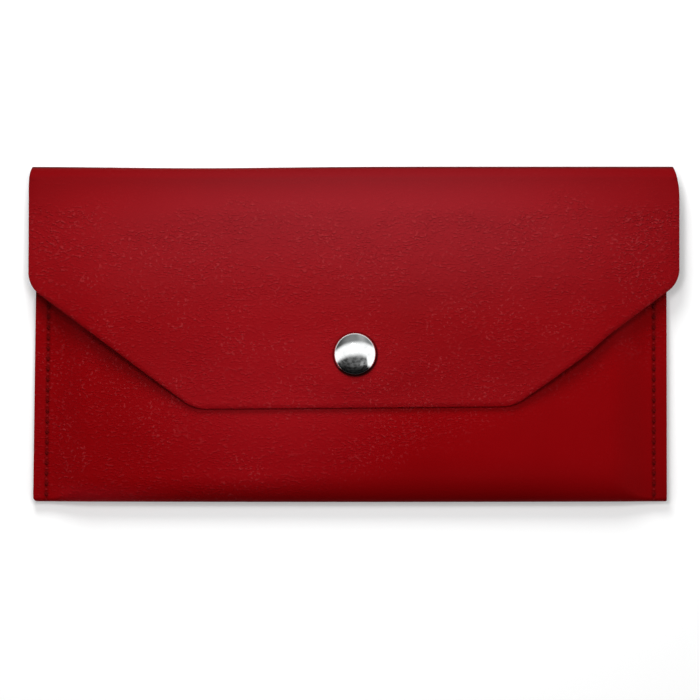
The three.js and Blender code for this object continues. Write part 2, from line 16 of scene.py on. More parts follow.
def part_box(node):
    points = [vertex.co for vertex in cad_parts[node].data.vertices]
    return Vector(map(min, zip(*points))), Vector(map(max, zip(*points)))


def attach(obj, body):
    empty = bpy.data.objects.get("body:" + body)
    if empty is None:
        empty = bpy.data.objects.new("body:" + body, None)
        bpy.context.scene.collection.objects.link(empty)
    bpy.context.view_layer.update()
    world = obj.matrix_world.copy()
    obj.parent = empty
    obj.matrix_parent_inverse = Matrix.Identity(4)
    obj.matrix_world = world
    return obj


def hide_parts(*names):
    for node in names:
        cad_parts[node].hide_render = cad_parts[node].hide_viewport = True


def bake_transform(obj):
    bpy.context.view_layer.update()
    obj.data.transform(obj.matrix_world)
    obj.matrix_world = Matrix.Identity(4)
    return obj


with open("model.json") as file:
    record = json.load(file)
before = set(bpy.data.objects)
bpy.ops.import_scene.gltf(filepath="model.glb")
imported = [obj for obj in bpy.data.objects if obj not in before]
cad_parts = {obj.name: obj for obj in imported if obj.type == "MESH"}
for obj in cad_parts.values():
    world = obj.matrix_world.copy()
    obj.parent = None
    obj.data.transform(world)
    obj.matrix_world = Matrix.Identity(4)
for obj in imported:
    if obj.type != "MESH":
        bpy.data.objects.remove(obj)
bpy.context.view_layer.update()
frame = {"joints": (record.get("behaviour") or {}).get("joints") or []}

mm = 0.001
bpy.ops.object.select_all(action="DESELECT")

# %% [markdown]
# A camera straight above with a long lens keeps the outline true, as in a catalogue picture.
# The picture's middle lies a little to the left of the wallet's and a little below it.

# %% Camera
PICTURE_WIDTH = 205.8 * mm
CAMERA_HEIGHT = 1000 * mm
SENSOR_WIDTH = 36
PICTURE_CENTRE = Vector((-1.2 * mm, -4.8 * mm, 6 * mm))

camera_data = bpy.data.cameras.new("camera")
camera_data.sensor_width = SENSOR_WIDTH
camera_data.lens = SENSOR_WIDTH * CAMERA_HEIGHT / PICTURE_WIDTH
camera = bpy.data.objects.new("camera", camera_data)
camera.location = PICTURE_CENTRE + Vector((0, 0, CAMERA_HEIGHT))
bpy.context.scene.collection.objects.link(camera)
bpy.context.scene.camera = camera
bpy.context.scene.view_settings.view_transform = "Standard"
print("lens", round(camera_data.lens, 1), "mm")

# %% [markdown]
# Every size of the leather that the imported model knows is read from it. The rest are the sizes
# that a maker would note on the pattern: how far in the seam runs, and how full the pocket is.

# %% Sizes of the leather
_, top_y, fold_radius = frame["joints"][0]["pos_m"]
pocket_low, pocket_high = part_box("pocket_leather")
flap_low, flap_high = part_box("flap_leather")
leather = 1.2 * mm
base_y = pocket_low.y
plan_height = top_y - base_y
fold_centre_y = top_y - fold_radius
BACK_PART = 9 * mm
BACK_SPLIT_Y = base_y + BACK_PART
front_face_z = pocket_high.z
pocket_depth = front_face_z - 2 * leather
FOLD_SPREAD = 0.3 * mm
fold_half = pocket_high.x + FOLD_SPREAD
flap_half = flap_high.x
flap_length = top_y - flap_low.y
flap_snap_z = flap_high.z - leather
flap_base_z = 2 * fold_radius - leather

MOUTH_DROP = 15 * mm
MOUTH_HALF = 92.75 * mm
BASE_HALF = 93.4 * mm
BASE_CORNER = 1.3 * mm
SQUARE_CORNER = 0.4 * mm
BASE_ROLL_TIP = 1.75 * mm
SEAM_INSET = 3.85 * mm
SEAM_GAP = 0.25 * mm
SEAM_LIFT = 1.0 * mm
SIDE_TAPER = 14 * mm
FLAP_FLARE = 9 * mm
FLARE_POWER = 2.4
FLAP_SIDE = 35.3 * mm
FLAP_TIP_HALF = 46.9 * mm
FLAP_SIDE_CORNER = 8 * mm
FLAP_TIP_CORNER = 11 * mm
FLAP_RISE = 36 * mm
FLAP_MOUTH_CLEARANCE = 0.45 * mm
FLAP_CROWN_OVERLAP = 3.5 * mm
SNAP_DROP = 55.4 * mm
SNAP_FLAT = 6.4 * mm
TENT_LENGTH = 9.2 * mm
TENT_WIDER = 1.8
TIP_FALL_START = 44 * mm
TIP_REST_GAP = 0.45 * mm
TIP_FLAT_HALF = 43 * mm
WING_LENGTH = 20 * mm
FULL_RISE = 1.3 * mm
FULL_BELOW = 75 * mm
FULL_LENGTH = 13 * mm
FULL_WIDTH = 56 * mm
WING_LIFT = 2.9 * mm
WING_X = -83 * mm
WING_BELOW = 44 * mm
SKIVED = 0.65
SKIVE_WIDTH = 1.7 * mm
print("wallet", round(2 * flap_half / mm, 1), "x", round(plan_height / mm, 1), "mm")


# %% Curves that the leather follows
def ease(s):
    s = np.clip(s, 0, 1)
    return s * s * (3 - 2 * s)


def taper(distance, length):
    return 0.5 * (1 + np.cos(np.pi * np.clip(distance / length, 0, 1)))


def hermite(low, high, slope_low, slope_high, length, s):
    s = np.clip(s, 0, 1)
    bend = s * (1 - s) ** 2 * length * slope_low + s * s * (s - 1) * length * slope_high
    return low + (high - low) * ease(s) + bend


def rounded(points, steps=24):
    """An outline through (half width, distance below the fold, corner radius) points."""
    line = [Vector(points[0][:2])]
    for before, corner, after in zip(points, points[1:], points[2:]):
        spot = Vector(corner[:2])
        a = (Vector(before[:2]) - spot).normalized()
        b = (Vector(after[:2]) - spot).normalized()
        half = a.angle(b) / 2
        reach = corner[2] / math.tan(half)
        centre = spot + (a + b).normalized() * corner[2] / math.sin(half)
        first, last = spot + a * reach - centre, spot + b * reach - centre
        turn = first.angle(last)
        for k in range(steps + 1):
            near, far = math.sin(turn * (1 - k / steps)), math.sin(turn * k / steps)
            line.append(centre + (first * near + last * far) / math.sin(turn))
    return line + [Vector(points[-1][:2])]


flare = [
    Vector((fold_half + (flap_half - fold_half) * (1 - (1 - s) ** FLARE_POWER), FLAP_FLARE * s))
    for s in np.linspace(0, 1, 9)
]
shaped = rounded([
    (flap_half, FLAP_FLARE),
    (flap_half, FLAP_SIDE, FLAP_SIDE_CORNER),
    (FLAP_TIP_HALF, flap_length, FLAP_TIP_CORNER),
    (0, flap_length),
])
flap_outline = flare + shaped[1:-1]
outline_half = np.array([p.x for p in flap_outline])
outline_below = np.array([p.y for p in flap_outline])
print("flap outline points", len(flap_outline), "tip half width", round(outline_half[-1] / mm, 1))


def flap_half_width(below):
    return np.interp(below, outline_below, outline_half)


def pocket_half_width(below, corner=BASE_CORNER):
    mouth = np.clip(below / MOUTH_DROP, 0, 1)
    base = np.clip((below - MOUTH_DROP) / (plan_height - MOUTH_DROP), 0, 1)
    straight = fold_half + (MOUTH_HALF - fold_half) * mouth + (BASE_HALF - MOUTH_HALF) * base
    into = np.clip(below - (plan_height - corner), 0, corner)
    return straight - (corner - np.sqrt(corner**2 - into**2))


def pocket_sides(u, below):
    """Half widths for a grid: the left corner at the base is rounder than the right one."""
    return np.where(u < 0, pocket_half_width(below), pocket_half_width(below, SQUARE_CORNER))


def seam_distance(below):
    return pocket_half_width(np.minimum(below, plan_height - BASE_CORNER)) - SEAM_INSET


def fullness(x, below):
    return taper(np.abs(x) - (seam_distance(below) - SIDE_TAPER), SIDE_TAPER)


def pocket_gap(x, below):
    return SEAM_GAP + (pocket_depth - SEAM_GAP) * fullness(x, below)


def back_lift(x, below):
    share = ease((below - fold_radius) / (MOUTH_DROP - fold_radius))
    return SEAM_LIFT * share * (1 - fullness(x, below))


def flap_underside(x, below):
    crown_x = MOUTH_HALF - SEAM_INSET - SIDE_TAPER - FLAP_CROWN_OVERLAP
    crown = taper(np.abs(x) - crown_x, flap_half - crown_x)
    over_mouth = front_face_z + FLAP_MOUTH_CLEARANCE
    slope = (flap_snap_z - flap_base_z) / (FLAP_RISE - fold_radius)
    to_mouth, to_full = MOUTH_DROP - fold_radius, FLAP_RISE - MOUTH_DROP
    first = hermite(flap_base_z, over_mouth, 0, slope, to_mouth, (below - fold_radius) / to_mouth)
    second = hermite(over_mouth, flap_snap_z, slope, 0, to_full, (below - MOUTH_DROP) / to_full)
    height = np.where(below < MOUTH_DROP, first, second)
    return flap_base_z + crown * (height - flap_base_z)


def full_rise(x, below):
    """The notes make the front fullest between the snap and the base."""
    return FULL_RISE * np.exp(-((x / FULL_WIDTH) ** 2) - ((below - FULL_BELOW) / FULL_LENGTH) ** 2)


def tip_fall(x, below):
    """The tip rests on the front, but stays up like a tent over the snap."""
    drop = flap_snap_z - front_face_z - full_rise(x, flap_length) - TIP_REST_GAP
    from_snap = np.hypot(x / TENT_WIDER, below - SNAP_DROP)
    free_of_snap = ease((from_snap - SNAP_FLAT) / TENT_LENGTH)
    falling = ease((below - TIP_FALL_START) / (flap_length - TIP_FALL_START))
    inside_tip = 1 - ease((np.abs(x) - TIP_FLAT_HALF) / WING_LENGTH)
    return drop * falling * free_of_snap * inside_tip


def wing_rise(x, below):
    """The left wing of the flap stands a little off the front."""
    aside, along = (x - WING_X) / WING_LENGTH, (below - WING_BELOW) / WING_LENGTH
    return WING_LIFT * np.exp(-(aside**2) - along**2)


# %% [markdown]
# Nothing sewn by hand is quite straight. The front sits a little to the left under the flap, and
# both long folds hang slightly in the middle, so the same small shifts go into every leather piece.

# %% Small shifts that a sewn wallet has
POCKET_SHIFT_MOUTH = -0.7 * mm
POCKET_SHIFT_BASE = -1.2 * mm
FOLD_SHIFT = -0.4 * mm
FOLD_SAG = 0.45 * mm
FOLD_SAG_X = -46 * mm
FOLD_SAG_WIDTH = 34 * mm
BASE_SAG = -0.35 * mm
BASE_SAG_WIDTH = 120 * mm
SAG_REACH = 40 * mm
TIP_TILT = 0.38 * mm
TIP_TILT_HALF = 46 * mm
TIP_TILT_BELOW = 45 * mm
TIP_TILT_FADE = 20 * mm
TIP_TILT_END_X = 48 * mm
CORNER_RISE = 1.0 * mm
CORNER_RISE_X = 67 * mm
CORNER_RISE_BELOW = 22 * mm
CORNER_FADE = 12 * mm
RIPPLE = 0.16 * mm
RIPPLE_LENGTH = 26 * mm


def pocket_shift(below):
    leaving = ease((below - fold_radius) / (MOUTH_DROP - fold_radius))
    along = np.clip((below - MOUTH_DROP) / (plan_height - MOUTH_DROP), 0, 1)
    return leaving * (POCKET_SHIFT_MOUTH + (POCKET_SHIFT_BASE - POCKET_SHIFT_MOUTH) * along)


def plan_sag(x, y):
    """How far a point is drawn in along Y: down from the top fold, up from the base fold."""
    near_top = ease((y - (top_y - SAG_REACH)) / SAG_REACH)
    near_base = ease(((base_y + SAG_REACH) - y) / SAG_REACH)
    top = FOLD_SAG * np.exp(-(((x - FOLD_SAG_X) / FOLD_SAG_WIDTH) ** 2))
    base = BASE_SAG * np.exp(-((x / BASE_SAG_WIDTH) ** 2))
    return base * near_base - top * near_top


def flap_tilt(x, below):
    """The tip was cut a little askew, and the right corner of the flap sits a little higher."""
    tip = np.clip(x / TIP_TILT_HALF, -1, 1) * ease((below - TIP_TILT_BELOW) / TIP_TILT_FADE)
    tip = tip * (1 - ease((x - TIP_TILT_END_X) / CORNER_FADE))
    corner = ease((x - CORNER_RISE_X) / (0.75 * CORNER_FADE))
    corner = corner * ease((below - CORNER_RISE_BELOW) / CORNER_FADE)
    return TIP_TILT * tip + CORNER_RISE * corner


def ripple(points, seed):
    """A slow unevenness of the sheet, the same for each run, between -1 and 1."""
    place = Vector((seed * 7.3, seed * 3.1, seed * 1.7))
    scaled = (Vector(p) / RIPPLE_LENGTH + place for p in points)
    return np.array([noise.noise(p) + 0.4 * noise.noise(2.3 * p) for p in scaled])


print("front moved aside by", POCKET_SHIFT_MOUTH / mm, "to", POCKET_SHIFT_BASE / mm, "mm")

# %% [markdown]
# Leather goods start as a flat blank. A grid stands for the blank here: its columns are spread to
# the pattern's width, its rows are laid round the folds, and Solidify then gives it the sheet's
# thickness. Bevel rounds the cut edge, as a maker's edge slicker does. Where two pieces of the same
# leather meet on the back, their ends stay square and flush, so that no line shows.


# %% Helpers for a blank
def flat_blank(name, across, along):
    bpy.ops.object.select_all(action="DESELECT")
    bpy.ops.mesh.primitive_grid_add(x_subdivisions=across, y_subdivisions=along, size=2)
    blank = bpy.context.active_object
    blank.name = name
    blank.data.name = name
    return blank


def grid_places(blank):
    places = np.empty(len(blank.data.vertices) * 3)
    blank.data.vertices.foreach_get("co", places)
    places = places.reshape(-1, 3)
    return places[:, 0], (places[:, 1] + 1) / 2


def lay_out(blank, x, y, z, flip):
    places = np.stack([x, y, z], axis=1)
    blank.data.vertices.foreach_set("co", places.ravel())
    blank.data.update()
    if flip:
        bpy.ops.object.mode_set(mode="EDIT")
        bpy.ops.mesh.select_all(action="SELECT")
        bpy.ops.mesh.flip_normals()
        bpy.ops.object.mode_set(mode="OBJECT")


def seam_map(blank, across, along):
    """A UV map in stitches: U is the distance from the seam line and V the distance along it."""
    layer = blank.data.uv_layers.active or blank.data.uv_layers.new(name="seam")
    layer.name = "seam"
    corner_vertex = np.empty(len(blank.data.loops), int)
    blank.data.loops.foreach_get("vertex_index", corner_vertex)
    pairs = np.stack([across[corner_vertex], along[corner_vertex]], axis=1)
    layer.data.foreach_set("uv", pairs.ravel())


CUT_ANGLE = math.radians(50)
JOIN_NEAR = 0.6 * mm
JOIN_BELOW_Z = 3 * mm


def mark_cut_edges(piece):
    """Bevel weight on the sheet's cut edges, but not where two runs of the same leather meet."""
    shape = bmesh.new()
    shape.from_mesh(piece.data)
    weight = shape.edges.layers.float.new("bevel_weight_edge")
    for edge in shape.edges:
        spots = [v.co for v in edge.verts]
        joined = all(abs(c.y - BACK_SPLIT_Y) < JOIN_NEAR and c.z < JOIN_BELOW_Z for c in spots)
        if len(edge.link_faces) == 2 and not joined:
            edge[weight] = 1.0 if edge.calc_face_angle() > CUT_ANGLE else 0.0
    shape.to_mesh(piece.data)
    shape.free()


def finish_sheet(piece, edge_radius, materials, share):
    for material in materials:
        piece.data.materials.append(material)
    group = piece.vertex_groups.new(name="thickness")
    for index, weight in enumerate(share):
        group.add([index], float(weight), "REPLACE")
    thick = piece.modifiers.new("thickness", "SOLIDIFY")
    thick.thickness = leather
    thick.vertex_group = "thickness"
    thick.offset = -1
    thick.use_even_offset = True
    thick.material_offset = 1
    thick.material_offset_rim = 2
    bpy.context.view_layer.objects.active = piece
    piece.select_set(True)
    bpy.ops.object.modifier_apply(modifier=thick.name)
    mark_cut_edges(piece)
    slick = piece.modifiers.new("slicked edge", "BEVEL")
    slick.width = edge_radius
    slick.segments = 3
    slick.limit_method = "WEIGHT"
    slick.material = 2
    bpy.ops.object.modifier_apply(modifier=slick.name)
    bpy.ops.object.shade_smooth_by_angle(angle=math.radians(40))
    piece.select_set(False)
    print(piece.name, len(piece.data.polygons), "faces")


# %% [markdown]
# Shader helpers: a node with its settings in one call, and links by name. Effects that several
# finishes share are groups, built once below.


# %% Helpers for materials
def plug(tree, socket, value):
    """A link where the value is a socket, and else the socket's own setting."""
    if isinstance(value, bpy.types.NodeSocket):
        tree.links.new(value, socket)
    else:
        socket.default_value = value


def add(tree, kind, settings=None, **inputs):
    """A new node. An input is named with _ for a space, or numbered: i0 is the first one."""
    made = tree.nodes.new(kind)
    for key, value in (settings or {}).items():
        setattr(made, key, value)
    for key, value in inputs.items():
        numbered = key[0] == "i" and key[1:].isdigit()
        plug(tree, made.inputs[int(key[1:]) if numbered else key.replace("_", " ")], value)
    return made


def calc(tree, operation, a, b=0.0):
    return add(tree, "ShaderNodeMath", {"operation": operation}, i0=a, i1=b).outputs[0]


def times(tree, a, b):
    return calc(tree, "MULTIPLY", a, b)


def ramp(tree, value, low, high, to_low=0.0, to_high=1.0):
    """A smooth step, from to_low where the value is low to to_high where it is high."""
    made = add(
        tree, "ShaderNodeMapRange", {"interpolation_type": "SMOOTHSTEP"}, Value=value,
        From_Min=low, From_Max=high, To_Min=to_low, To_Max=to_high,
    )
    return made.outputs[0]


def mix_colour(tree, share, a, b):
    return add(tree, "ShaderNodeMix", {"data_type": "RGBA"}, i0=share, i6=a, i7=b).outputs[2]


def mix_value(tree, share, a, b):
    return add(tree, "ShaderNodeMix", {"data_type": "FLOAT"}, i0=share, i2=a, i3=b).outputs[0]


def noise_of(tree, place, scale, detail=2.0, rough=0.5):
    settings = {"Vector": place, "Scale": scale, "Detail": detail, "Roughness": rough}
    return add(tree, "ShaderNodeTexNoise", **settings).outputs["Fac"]


def stretched(tree, place, scale, turn=0.0):
    made = add(tree, "ShaderNodeMapping", Vector=place, Scale=scale, Rotation=(0.0, 0.0, turn))
    return made.outputs[0]


def split(tree, place):
    return add(tree, "ShaderNodeSeparateXYZ", Vector=place).outputs


def length_of(tree, way):
    return add(tree, "ShaderNodeVectorMath", {"operation": "LENGTH"}, i0=way).outputs["Value"]


def distance_from(tree, place, spot):
    way = add(tree, "ShaderNodeVectorMath", {"operation": "SUBTRACT"}, i0=place, i1=spot)
    return length_of(tree, way.outputs[0])


def new_group(name, **inputs):
    """A group's tree and its inputs: None makes a vector, and a number a value that starts so."""
    tree = bpy.data.node_groups.new(name, "ShaderNodeTree")
    for key, value in inputs.items():
        kind = "NodeSocketVector" if value is None else "NodeSocketFloat"
        socket = tree.interface.new_socket(key.replace("_", " "), in_out="INPUT", socket_type=kind)
        if value is not None:
            socket.default_value = value
    return tree, tree.nodes.new("NodeGroupInput").outputs


def group_gives(tree, **values):
    """The outputs of a group, each under its own name."""
    for label in values:
        tree.interface.new_socket(label, in_out="OUTPUT", socket_type="NodeSocketFloat")
    outlet = tree.nodes.new("NodeGroupOutput")
    for label, value in values.items():
        tree.links.new(value, outlet.inputs[label])
    print("group", tree.name, "gives", list(values))


def use_group(tree, group, **inputs):
    return add(tree, "ShaderNodeGroup", {"node_tree": group}, **inputs).outputs


def new_material(name, **constants):
    made = bpy.data.materials.new(name)
    made.use_nodes = True
    shader = made.node_tree.nodes["Principled BSDF"].inputs
    for key, value in constants.items():
        shader[key.replace("_", " ")].default_value = value
    print("finish", name)
    return made, made.node_tree, shader


def object_place(tree):
    return add(tree, "ShaderNodeTexCoord").outputs["Object"]


def dress(tree, shader, colour, rough, height, strength, distance):
    """Gives a material its colour, its roughness and the relief that is too fine to model."""
    bump = add(tree, "ShaderNodeBump", Strength=strength, Distance=distance, Height=height)
    tree.links.new(colour, shader["Base Color"])
    tree.links.new(rough, shader["Roughness"])
    tree.links.new(bump.outputs[0], shader["Normal"])


def linear(red, green, blue):
    """An sRGB colour from 0 to 255 as the linear colour that a shader wants."""
    parts = [c / 255 for c in (red, green, blue)]
    return *(c / 12.92 if c <= 0.04045 else ((c + 0.055) / 1.055) ** 2.4 for c in parts), 1.0


# %% [markdown]
# Pressed grain on coated leather is four things at once: small cells, short creases that run
# across the hide, very fine pores and scattered specks. One group makes all four, so that the
# outside and the cut edge can share them at their own strengths.

# %% Grain group
CREASE_SCALE = 1650.0
ZONE_SCALE = 190.0
PORE_SCALE = 3600.0
SPECK_SCALE = 1150.0
SPECK_ZONE_SCALE = 75.0
CLOUD_SCALE = 38.0
grain, hide = new_group("pressed grain", Vector=None, Cells_per_metre=900.0, Creases=1.0)
place = hide["Vector"]
drawn_out = stretched(grain, place, (0.5, 1.0, 1.0))
creases = noise_of(grain, drawn_out, CREASE_SCALE, 1.5)
zone = ramp(grain, noise_of(grain, drawn_out, ZONE_SCALE), 0.38, 0.62, 0.55, 1.15)
crease = times(grain, ramp(grain, creases, 0.45, 0.70), zone)
crest = times(grain, ramp(grain, creases, 0.58, 0.70), zone)
cells = add(
    grain, "ShaderNodeTexVoronoi", {"feature": "SMOOTH_F1"},
    Vector=place, Scale=hide["Cells per metre"], Smoothness=0.5,
)
pebble = ramp(grain, cells.outputs["Distance"], 0.15, 0.75, 1.0, 0.0)
pores = noise_of(grain, place, PORE_SCALE)
speck = ramp(grain, noise_of(grain, place, SPECK_SCALE, 1.0), 0.61, 0.69)
speck_zone = ramp(grain, noise_of(grain, place, SPECK_ZONE_SCALE), 0.45, 0.60)
speck = times(grain, speck, speck_zone)
height = times(grain, times(grain, crease, hide["Creases"]), 0.8)
for part, share in ((pebble, 0.16), (pores, 0.18), (speck, 0.4)):
    height = calc(grain, "ADD", height, times(grain, part, share))
clouds = noise_of(grain, place, CLOUD_SCALE, 3.0)
# The crest and speck masks are where the red outside paints highlights on the grain.
group_gives(grain, Height=height, Crest=crest, Speck=speck, Cloud=clouds)

# %% [markdown]
# The seam pulls the sheet down under each stitch and leaves a little pillow between two stitches.
# The pieces carry a UV map in stitches, so the holes line up with the thread. Its masks also place
# painted shade in the holes and the groove, and a painted highlight on each pillow.

# %% Seam group
STITCH_TOP = MOUTH_DROP + 0.2 * mm
STITCH_END = plan_height - 0.55 * mm
STITCH_COUNT = round((STITCH_END - STITCH_TOP) / (3.09 * mm))
PITCH = (STITCH_END - STITCH_TOP) / STITCH_COUNT
HOLE_PHASE = 0.19
seam, sewing = new_group("needle holes", Seam=None)
from_line, along_line, _ = split(seam, sewing["Seam"])


def stitches_from(along):
    """How far a point is from a place on the seam line, in stitches."""
    ways = [calc(seam, "ABSOLUTE", way) for way in (from_line, along)]
    squares = [calc(seam, "POWER", way, 2.0) for way in ways]
    return calc(seam, "SQRT", calc(seam, "ADD", *squares))


phase = calc(seam, "FRACT", along_line)
from_hole = calc(seam, "ABSOLUTE", calc(seam, "SUBTRACT", phase, 0.5))
from_hole = calc(seam, "SUBTRACT", 0.5, from_hole)
beside_hole = calc(seam, "SUBTRACT", from_hole, HOLE_PHASE)
hole = ramp(seam, stitches_from(beside_hole), 0.04, 0.14, 0.2, 0.0)
pillow = ramp(seam, stitches_from(from_hole), 0.03, 0.15, 1.0, 0.0)
groove = ramp(seam, calc(seam, "ABSOLUTE", from_line), 0.08, 0.34, 1.0, 0.0)
group_gives(seam, Depth=hole, Shade=groove, Pillow=pillow)

# %% [markdown]
# Painted shade darkens the leather along the two folds and towards the left and right ends, and a
# thin painted shadow runs round the cap and a painted dark line along the top fold. Painted sheen
# makes the flap's upper part a little paler, and painted light makes a place left of the snap and the
# left end of the base paler too. The grain is pressed flat beside the top fold and worn low at the
# right of the base. One group measures how near a point is to those places.

# %% Painted light and shade, and worn grain
cap_low, cap_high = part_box("snap_cap")
snap_middle = 0.5 * (cap_low + cap_high)
SNAP_ASIDE = 0.24 * mm
SNAP_UP = 0.26 * mm
cap_radius = 0.5 * (cap_high.x - cap_low.x)
CAP_LINE_SPOT = (SNAP_ASIDE + 0.12 * mm, snap_middle.y + SNAP_UP - 0.25 * mm, flap_high.z)
CAP_LINE = 0.65 * mm
LIT_PATCH_SPOT = (-25 * mm, -15 * mm, 7 * mm)
UNEVEN = 26 * mm
CORNER_SLANT = -2.5
light_and_wear_group, place_inputs = new_group("handled places", Vector=None)
place = place_inputs["Vector"]
at_x, at_y, at_z = split(light_and_wear_group, place)


def step_mm(value, low, high, to_low=0.0, to_high=1.0):
    """A smooth step in the group of painted light and shade, between two places in millimetres."""
    return ramp(light_and_wear_group, value, low * mm, high * mm, to_low, to_high)


def merge(operation, first, *others):
    """One value from several in the group of painted light and shade, by the same operation each
    time.
    """
    for value in others:
        first = calc(light_and_wear_group, operation, first, value)
    return first


def fading(distance, width):
    return ramp(light_and_wear_group, merge("DIVIDE", distance, width), 0.0, 1.0, 1.0, 0.0)


above_base = merge("SUBTRACT", at_y, base_y)
# Painted shade along the base fold and the top fold, weaker towards the ends of the base.
base_fold_shade = fading(above_base, step_mm(at_x, -40, 40, 8.5 * mm, 15 * mm))
fold_shade_ends = merge("MULTIPLY", step_mm(at_x, -82, -34), step_mm(at_x, 45, 80, 1.0, 0.6))
base_fold_shade = merge("MULTIPLY", base_fold_shade, fold_shade_ends)
under_top = merge("SUBTRACT", top_y, at_y)
off_middle = calc(light_and_wear_group, "ABSOLUTE", at_x)
top_fold_shade = fading(under_top, step_mm(off_middle, 40, 88, 13 * mm, 21 * mm))
top_fold_shade = merge("MULTIPLY", top_fold_shade, step_mm(at_x, -60, 70, 0.5, 0.3))
top_fold_shade = merge("ADD", top_fold_shade, step_mm(under_top, 0.8, 3.2, 0.36, 0.0))
# Painted sheen: the flap's upper part turns paler, most near the middle.
upper = merge("MAXIMUM", step_mm(at_y, -14, 44), step_mm(at_z, 9.2, 10, 0.0, 0.22))
near_middle = step_mm(length_of(light_and_wear_group, place), 30, 120, 1.0, 0.25)
flap_sheen = merge("MULTIPLY", upper, step_mm(at_z, 5, 6.6), near_middle)
# Painted shade towards the left and right ends.
from_centre = merge("SUBTRACT", at_x, step_mm(at_y, -20, 10, 14 * mm, 40 * mm))
sides = step_mm(calc(light_and_wear_group, "ABSOLUTE", from_centre), 20, 110)
sides = merge("MULTIPLY", sides, step_mm(at_y, -20, 10, 1.0, 0.5))
# Painted light: a paler place left of the snap, and a paler left end of the base.
lit_patch = step_mm(distance_from(light_and_wear_group, place, LIT_PATCH_SPOT), 8, 48, 1.0, 0.0)
lit_end = merge("MULTIPLY", step_mm(at_x, -84, -42, 1.3, 0.0), step_mm(at_x, -91, -80))
lit_end = merge("MULTIPLY", lit_end, step_mm(above_base, 1, 6.5, 1.0, 0.0))
# A painted shadow round the cap, and a painted dark line along the top fold.
from_cap = distance_from(light_and_wear_group, place, CAP_LINE_SPOT)
cap_shadow = ramp(light_and_wear_group, from_cap, cap_radius, cap_radius + CAP_LINE, 1.0, 0.0)
ridge_shade = step_mm(under_top, 0.25, 0.95, 0.62, 0.0)
uneven_y = merge("ADD", at_y, merge("MULTIPLY", noise_of(light_and_wear_group, place, 45.0), UNEVEN))
pressed = ramp(light_and_wear_group, uneven_y, top_y - 3.5 * mm, top_y + 4.5 * mm, 1.0, 0.1)
slanted = merge("ADD", at_x, merge("MULTIPLY", at_y, CORNER_SLANT))
marks = merge("MULTIPLY", pressed, step_mm(slanted, 80, 122, 1.0, 0.08))
group_gives(
    light_and_wear_group,
    Folds=merge("MAXIMUM", base_fold_shade, top_fold_shade),
    Sides=sides,
    Grime=merge("MAXIMUM", cap_shadow, ridge_shade),
    Flap=flap_sheen,
    Palm=merge("MAXIMUM", lit_patch, lit_end),
    Grain=merge("MULTIPLY", step_mm(at_y, 0, 46, 0.7, 2.0), marks),
    Marks=marks,
)

# %% [markdown]
# Each sheet of leather has three finishes: the red outside, the brushed backing on its inner face,
# and the paint on its cut edge. On the outside, painted shade and painted highlights lie over each
# other like washes, and the table below says how strong each one is.

# %% Leather finishes
# RED and RED_RICH are the leather's own reds; the other reds paint highlights, sheen, light and
# shade.
RED = (0.22, 0.0007, 0.002, 1)
RED_RICH = (0.204, 0.0006, 0.0018, 1)
RED_PAINTED_HIGHLIGHT = (0.30, 0.022, 0.026, 1)
RED_PAINTED_SHEEN = (0.236, 0.021, 0.029, 1)
RED_PAINTED_LIGHT = (0.272, 0.0045, 0.008, 1)
RED_PAINTED_GLINT = (0.34, 0.03, 0.034, 1)
RED_PAINTED_SHADE = (0.109, 0.0003, 0.0008, 1)
RED_PAINTED_DEEP_SHADE = (0.02, 0.0003, 0.0004, 1)
HOLE_RELIEF = 3.0

red_leather, tree, shader = new_material("red leather", Specular_IOR_Level=0.014)
place = object_place(tree)
grained = use_group(tree, grain, Vector=place, Cells_per_metre=1050.0, Creases=1.0)
light_and_wear = use_group(tree, light_and_wear_group, Vector=place)
holes = use_group(tree, seam, Seam=add(tree, "ShaderNodeUVMap", {"uv_map": "seam"}).outputs[0])
colour = mix_colour(tree, ramp(tree, grained["Cloud"], 0.3, 0.7), RED_RICH, RED)
# Each wash below paints light or shade: a sheen on the upper flap, paler patches, highlights on grain
# crests, specks and stitch pillows, and shade towards the ends, along the folds, round the cap, in
# the stitch groove and in the holes.
for mask, share, tint in (
    (light_and_wear["Flap"], 0.5, RED_PAINTED_SHEEN),
    (light_and_wear["Palm"], 0.64, RED_PAINTED_LIGHT),
    (times(tree, grained["Crest"], light_and_wear["Grain"]), 0.36, RED_PAINTED_HIGHLIGHT),
    (times(tree, grained["Speck"], light_and_wear["Marks"]), 0.42, RED_PAINTED_GLINT),
    (light_and_wear["Sides"], 0.16, RED_PAINTED_SHADE),
    (light_and_wear["Folds"], 0.72, RED_PAINTED_SHADE),
    (light_and_wear["Grime"], 1, RED_PAINTED_DEEP_SHADE),
    (holes["Shade"], 0.6, RED_PAINTED_SHADE),
    (holes["Pillow"], 0.2, RED_PAINTED_GLINT),
    (holes["Depth"], 1, RED_PAINTED_DEEP_SHADE),
):
    colour = mix_colour(tree, mask if share == 1 else times(tree, mask, share), colour, tint)
relief = times(tree, grained["Height"], light_and_wear["Grain"])
relief = calc(tree, "SUBTRACT", relief, times(tree, holes["Depth"], HOLE_RELIEF))
rough = ramp(tree, grained["Cloud"], 0.25, 0.75, 0.37, 0.43)
dress(tree, shader, colour, rough, relief, strength=0.78, distance=0.2 * mm)

